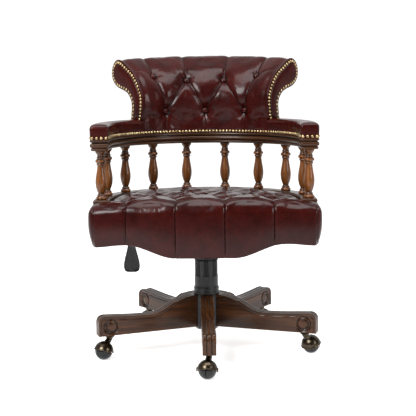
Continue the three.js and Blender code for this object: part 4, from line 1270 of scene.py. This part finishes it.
def make_mechanism():
    pivot_y, pivot_z, lever_y, lever_z, spring_y = -45, 311, -18, 321.5, 64
    pin = turned([(0, -66), (7.6, -66), (8.4, -65.2), (8.4, -64.2), (6, -64), (6, 64), (8.4, 64.2),
                  (8.4, 65.2), (7.6, 66), (0, 66)], 28)
    piece("pivot_pin", laid(pin, "X", (0, pivot_y, pivot_z)), BRIGHT_STEEL, "swivel", level,
          replaces=["tilt_pin"], sharp=40)
    turns, low, high = 4, 290.4, 329.0
    t = np.linspace(0, 1, 220)
    rise = low + (high - low) * ease(t) * 0.35 + (high - low) * t * 0.65
    angle = t * turns * math.tau
    coil = np.column_stack([13 * np.cos(angle), spring_y + 13 * np.sin(angle), rise])
    spring = piece("recline_spring", tube(coil, 2.0, 10), BRIGHT_STEEL, "swivel", level,
                   replaces=["tilt_spring"])
    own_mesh(spring)
    knob = [(0, 262.5), (12, 262.5), (13.5, 263.6), (18.2, 263.2), (21.4, 264.4), (22.7, 267), (23, 271),
            (22.8, 277), (21.4, 281.5), (18.2, 284.2), (5, 284.4), (4, 285), (4, 302.6), (3.4, 303),
            (0, 303)]
    sides = 96
    angle = np.arange(sides) * math.tau / sides
    rings = []
    for r, z in knob:
        grip = 1.3 * (0.5 + 0.5 * np.cos(angle * 12)) * (r > 21)
        radius = np.maximum(r - grip, 0.001)
        rings.append(np.column_stack([radius * np.cos(angle), spring_y + radius * np.sin(angle),
                                      np.full(sides, z)]))
    piece("recline_knob", skin(rings), BLACK_PLASTIC, "knob", level, replaces=["tension_knob"], sharp=40)
    rod = smooth_path([(x, lever_y, lever_z) for x in (-219.5, -200, -120, -6)], 4)
    tongue = smooth_path([(x, y, lever_z) for x, y in ((-9, lever_y), (-7, -12), (-2, -4), (0, 3.5))], 2)
    shape = merge(tube(rod, 3.45, 18), tube(tongue, np.linspace(3.2, 1.5, len(tongue)), 12))
    piece("release_rod", shape, BLACK_STEEL, "lever", level, replaces=["lever_rod"], sharp=50)
    make_paddle(-212, lever_y, lever_z)


def make_paddle(x0, y0, top):
    """Drop-shaped handle with a raised rim, hanging from the rod's boss."""
    half, bottom = 23, 229
    wide = bottom + half - 4
    right = np.vstack([bezier((9, top), (10.5, 292), (half - 1, 270), (half, wide), 26),
                       bezier((half, wide), (half, bottom - 2.6), (12, bottom), (0, bottom), 22)[1:]])
    outline = even(np.vstack([right, (right * [-1, 1])[::-1][1:]]), 2.2)
    outline = np.vstack([outline, even(outline[[-1, 0]], 2.2)[1:-1]])
    inward = normals_2d(outline, closed=True)
    centre = outline.mean(0)
    if np.sum((outline - inward - centre) ** 2) > np.sum((outline + inward - centre) ** 2):
        inward = -inward
    rings = []
    front = [(11.5, 4.3), (8, 4.4), (5.2, 4.6), (4.2, 5.6), (3.0, 6.0), (1.3, 5.5), (0.3, 4.1), (0, 2.0)]
    for inset, y in [*front, *[(inset, -y) for inset, y in reversed(front)]]:
        reach = np.minimum(inset, np.abs(outline[:, 0]) * 0.8 + 1.2)
        q = outline - inward * reach[:, None]
        rings.append(np.column_stack([q[:, 0] + x0, np.full(len(q), y0 + y), q[:, 1]]))
    boss = turned([(3.8, -12), (7.2, -12), (8.2, -11), (8.2, 11), (7.2, 12), (3.8, 12), (3.8, -12)], 32)
    shape = merge(skin(rings), laid(boss, "X", (x0, y0, top)))
    piece("release_paddle", shape, BLACK_PLASTIC, "lever", level, replaces=["lever_paddle"], sharp=45)


def dress_frame():
    """Materials and softened edges for the CAD nodes that stay."""
    looks = {"base_hub": BLACK_STEEL, "tilt_housing": BLACK_STEEL, "seat_plate": BLACK_STEEL,
             "seat_board": PLYWOOD, "seat_frame": PLYWOOD, "back_frame": PLYWOOD}
    looks |= {f"castor_sleeve_{i}": BRIGHT_STEEL for i in range(1, 6)}
    for name, material in looks.items():
        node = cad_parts[name]
        if not node.material_slots:
            node.data.materials.append(material)
        for held in node.material_slots:
            held.link = "OBJECT"
            held.material = material
        if name in ("base_hub", "tilt_housing", "seat_plate", "seat_board"):
            bevel = node.modifiers.new("soft_edges", "BEVEL")
            bevel.width = 0.0008
            bevel.segments = 2
            bevel.limit_method = "ANGLE"


# ---- Studio ---------------------------------------------------------------------------------------
def make_camera():
    focal_px, distance, height = 1213.74, 3.4163, 0.93528
    azimuth, pitch = math.radians(0.5272), math.radians(8.7603)
    roll, aim = math.radians(0.5839), math.radians(-0.1134)
    yaw = azimuth + aim
    ahead = Vector((-math.sin(yaw) * math.cos(pitch), math.cos(yaw) * math.cos(pitch), -math.sin(pitch)))
    right = Vector((math.cos(yaw), math.sin(yaw), 0))
    up = right.cross(ahead)
    across = right * math.cos(roll) - up * math.sin(roll)
    upright = right * math.sin(roll) + up * math.cos(roll)
    turn = Matrix((across, upright, -ahead)).transposed().to_4x4()
    data = bpy.data.cameras.new("camera")
    data.sensor_width = 36
    data.lens = 36 * focal_px / 416
    camera = bpy.data.objects.new("camera", data)
    bpy.context.scene.collection.objects.link(camera)
    place = Vector((math.sin(azimuth) * distance, -math.cos(azimuth) * distance + AXIS_Y * MM, height))
    camera.matrix_world = Matrix.Translation(place) @ turn
    bpy.context.scene.camera = camera


def area_light(name, place, size, power):
    """A softbox that faces the middle of the chair."""
    data = bpy.data.lights.new(name, "AREA")
    data.shape = "RECTANGLE"
    data.size, data.size_y = size
    data.energy = power
    light = bpy.data.objects.new(name, data)
    bpy.context.scene.collection.objects.link(light)
    light.location = place
    light.rotation_euler = (Vector((0, 0, 0.5)) - Vector(place)).to_track_quat("-Z", "Y").to_euler()


def make_studio():
    floor = Shader("studio_floor", Roughness=0.75, Specular_IOR_Level=0.2)
    paint = floor.noise(floor.coordinates("Object", (1, 1, 1)), 3, 2)
    floor.set("Base Color", floor.ramp(paint, (0.3, 0.8), (0.7, 0.83)))
    # painted light: the floor glows by its own emission, which fills the sweep behind and fades towards the
    # dim front of the room
    ahead = floor.node("ShaderNodeSeparateXYZ", Vector=floor.coordinates("Object", (1, 1, 1))).outputs["Y"]
    glow = floor.node("ShaderNodeMapRange", Value=ahead, From_Min=-2.2, From_Max=-0.75, To_Min=0.1,
                      To_Max=1.0, interpolation_type="SMOOTHSTEP").outputs[0]
    floor.set("Emission Color", floor.mix(glow, (0, 0, 0), (1.0, 1.0, 1.0)))
    floor.out.inputs["Emission Strength"].default_value = 0.6
    mesh = bpy.data.meshes.new("studio_floor")
    mesh.from_pydata([(-16, -16, 0), (16, -16, 0), (16, 16, 0), (-16, 16, 0)], [], [(0, 1, 2, 3)])
    mesh.materials.append(floor.material)
    ground = bpy.data.objects.new("studio_floor", mesh)
    bpy.context.scene.collection.objects.link(ground)
    # a white sweep behind the chair and a dimmer room in front of it
    world = bpy.data.worlds.new("studio")
    world.use_nodes = True
    nodes, links = world.node_tree.nodes, world.node_tree.links
    where = nodes.new("ShaderNodeTexCoord")
    split = nodes.new("ShaderNodeSeparateXYZ")
    fade = nodes.new("ShaderNodeMapRange")
    fade.interpolation_type = "SMOOTHSTEP"
    for key, value in (("From Min", -0.35), ("From Max", 0.45), ("To Min", 0.1), ("To Max", 1.05)):
        fade.inputs[key].default_value = value
    links.new(where.outputs["Generated"], split.inputs[0])
    links.new(split.outputs["Y"], fade.inputs["Value"])
    links.new(fade.outputs[0], nodes["Background"].inputs["Strength"])
    nodes["Background"].inputs["Color"].default_value = (1, 1, 1, 1)
    bpy.context.scene.world = world
    bpy.context.scene.view_settings.view_transform = "Standard"
    area_light("key", (-1.6, -2.2, 2.4), (1.3, 1.3), 140)
    area_light("fill", (2.4, -1.8, 1.5), (0.6, 1.5), 42)
    area_light("top", (0.1, -0.45, 2.6), (2.2, 1.0), 58)


make_camera()
make_seat_cushion()
make_side_border()
make_rails()
make_spindles()
make_back_pad()
make_back_panel()
make_facings()
make_arm_pads()
make_rail_nails()
make_legs()
make_castors()
make_column()
make_mechanism()
dress_frame()
make_studio()
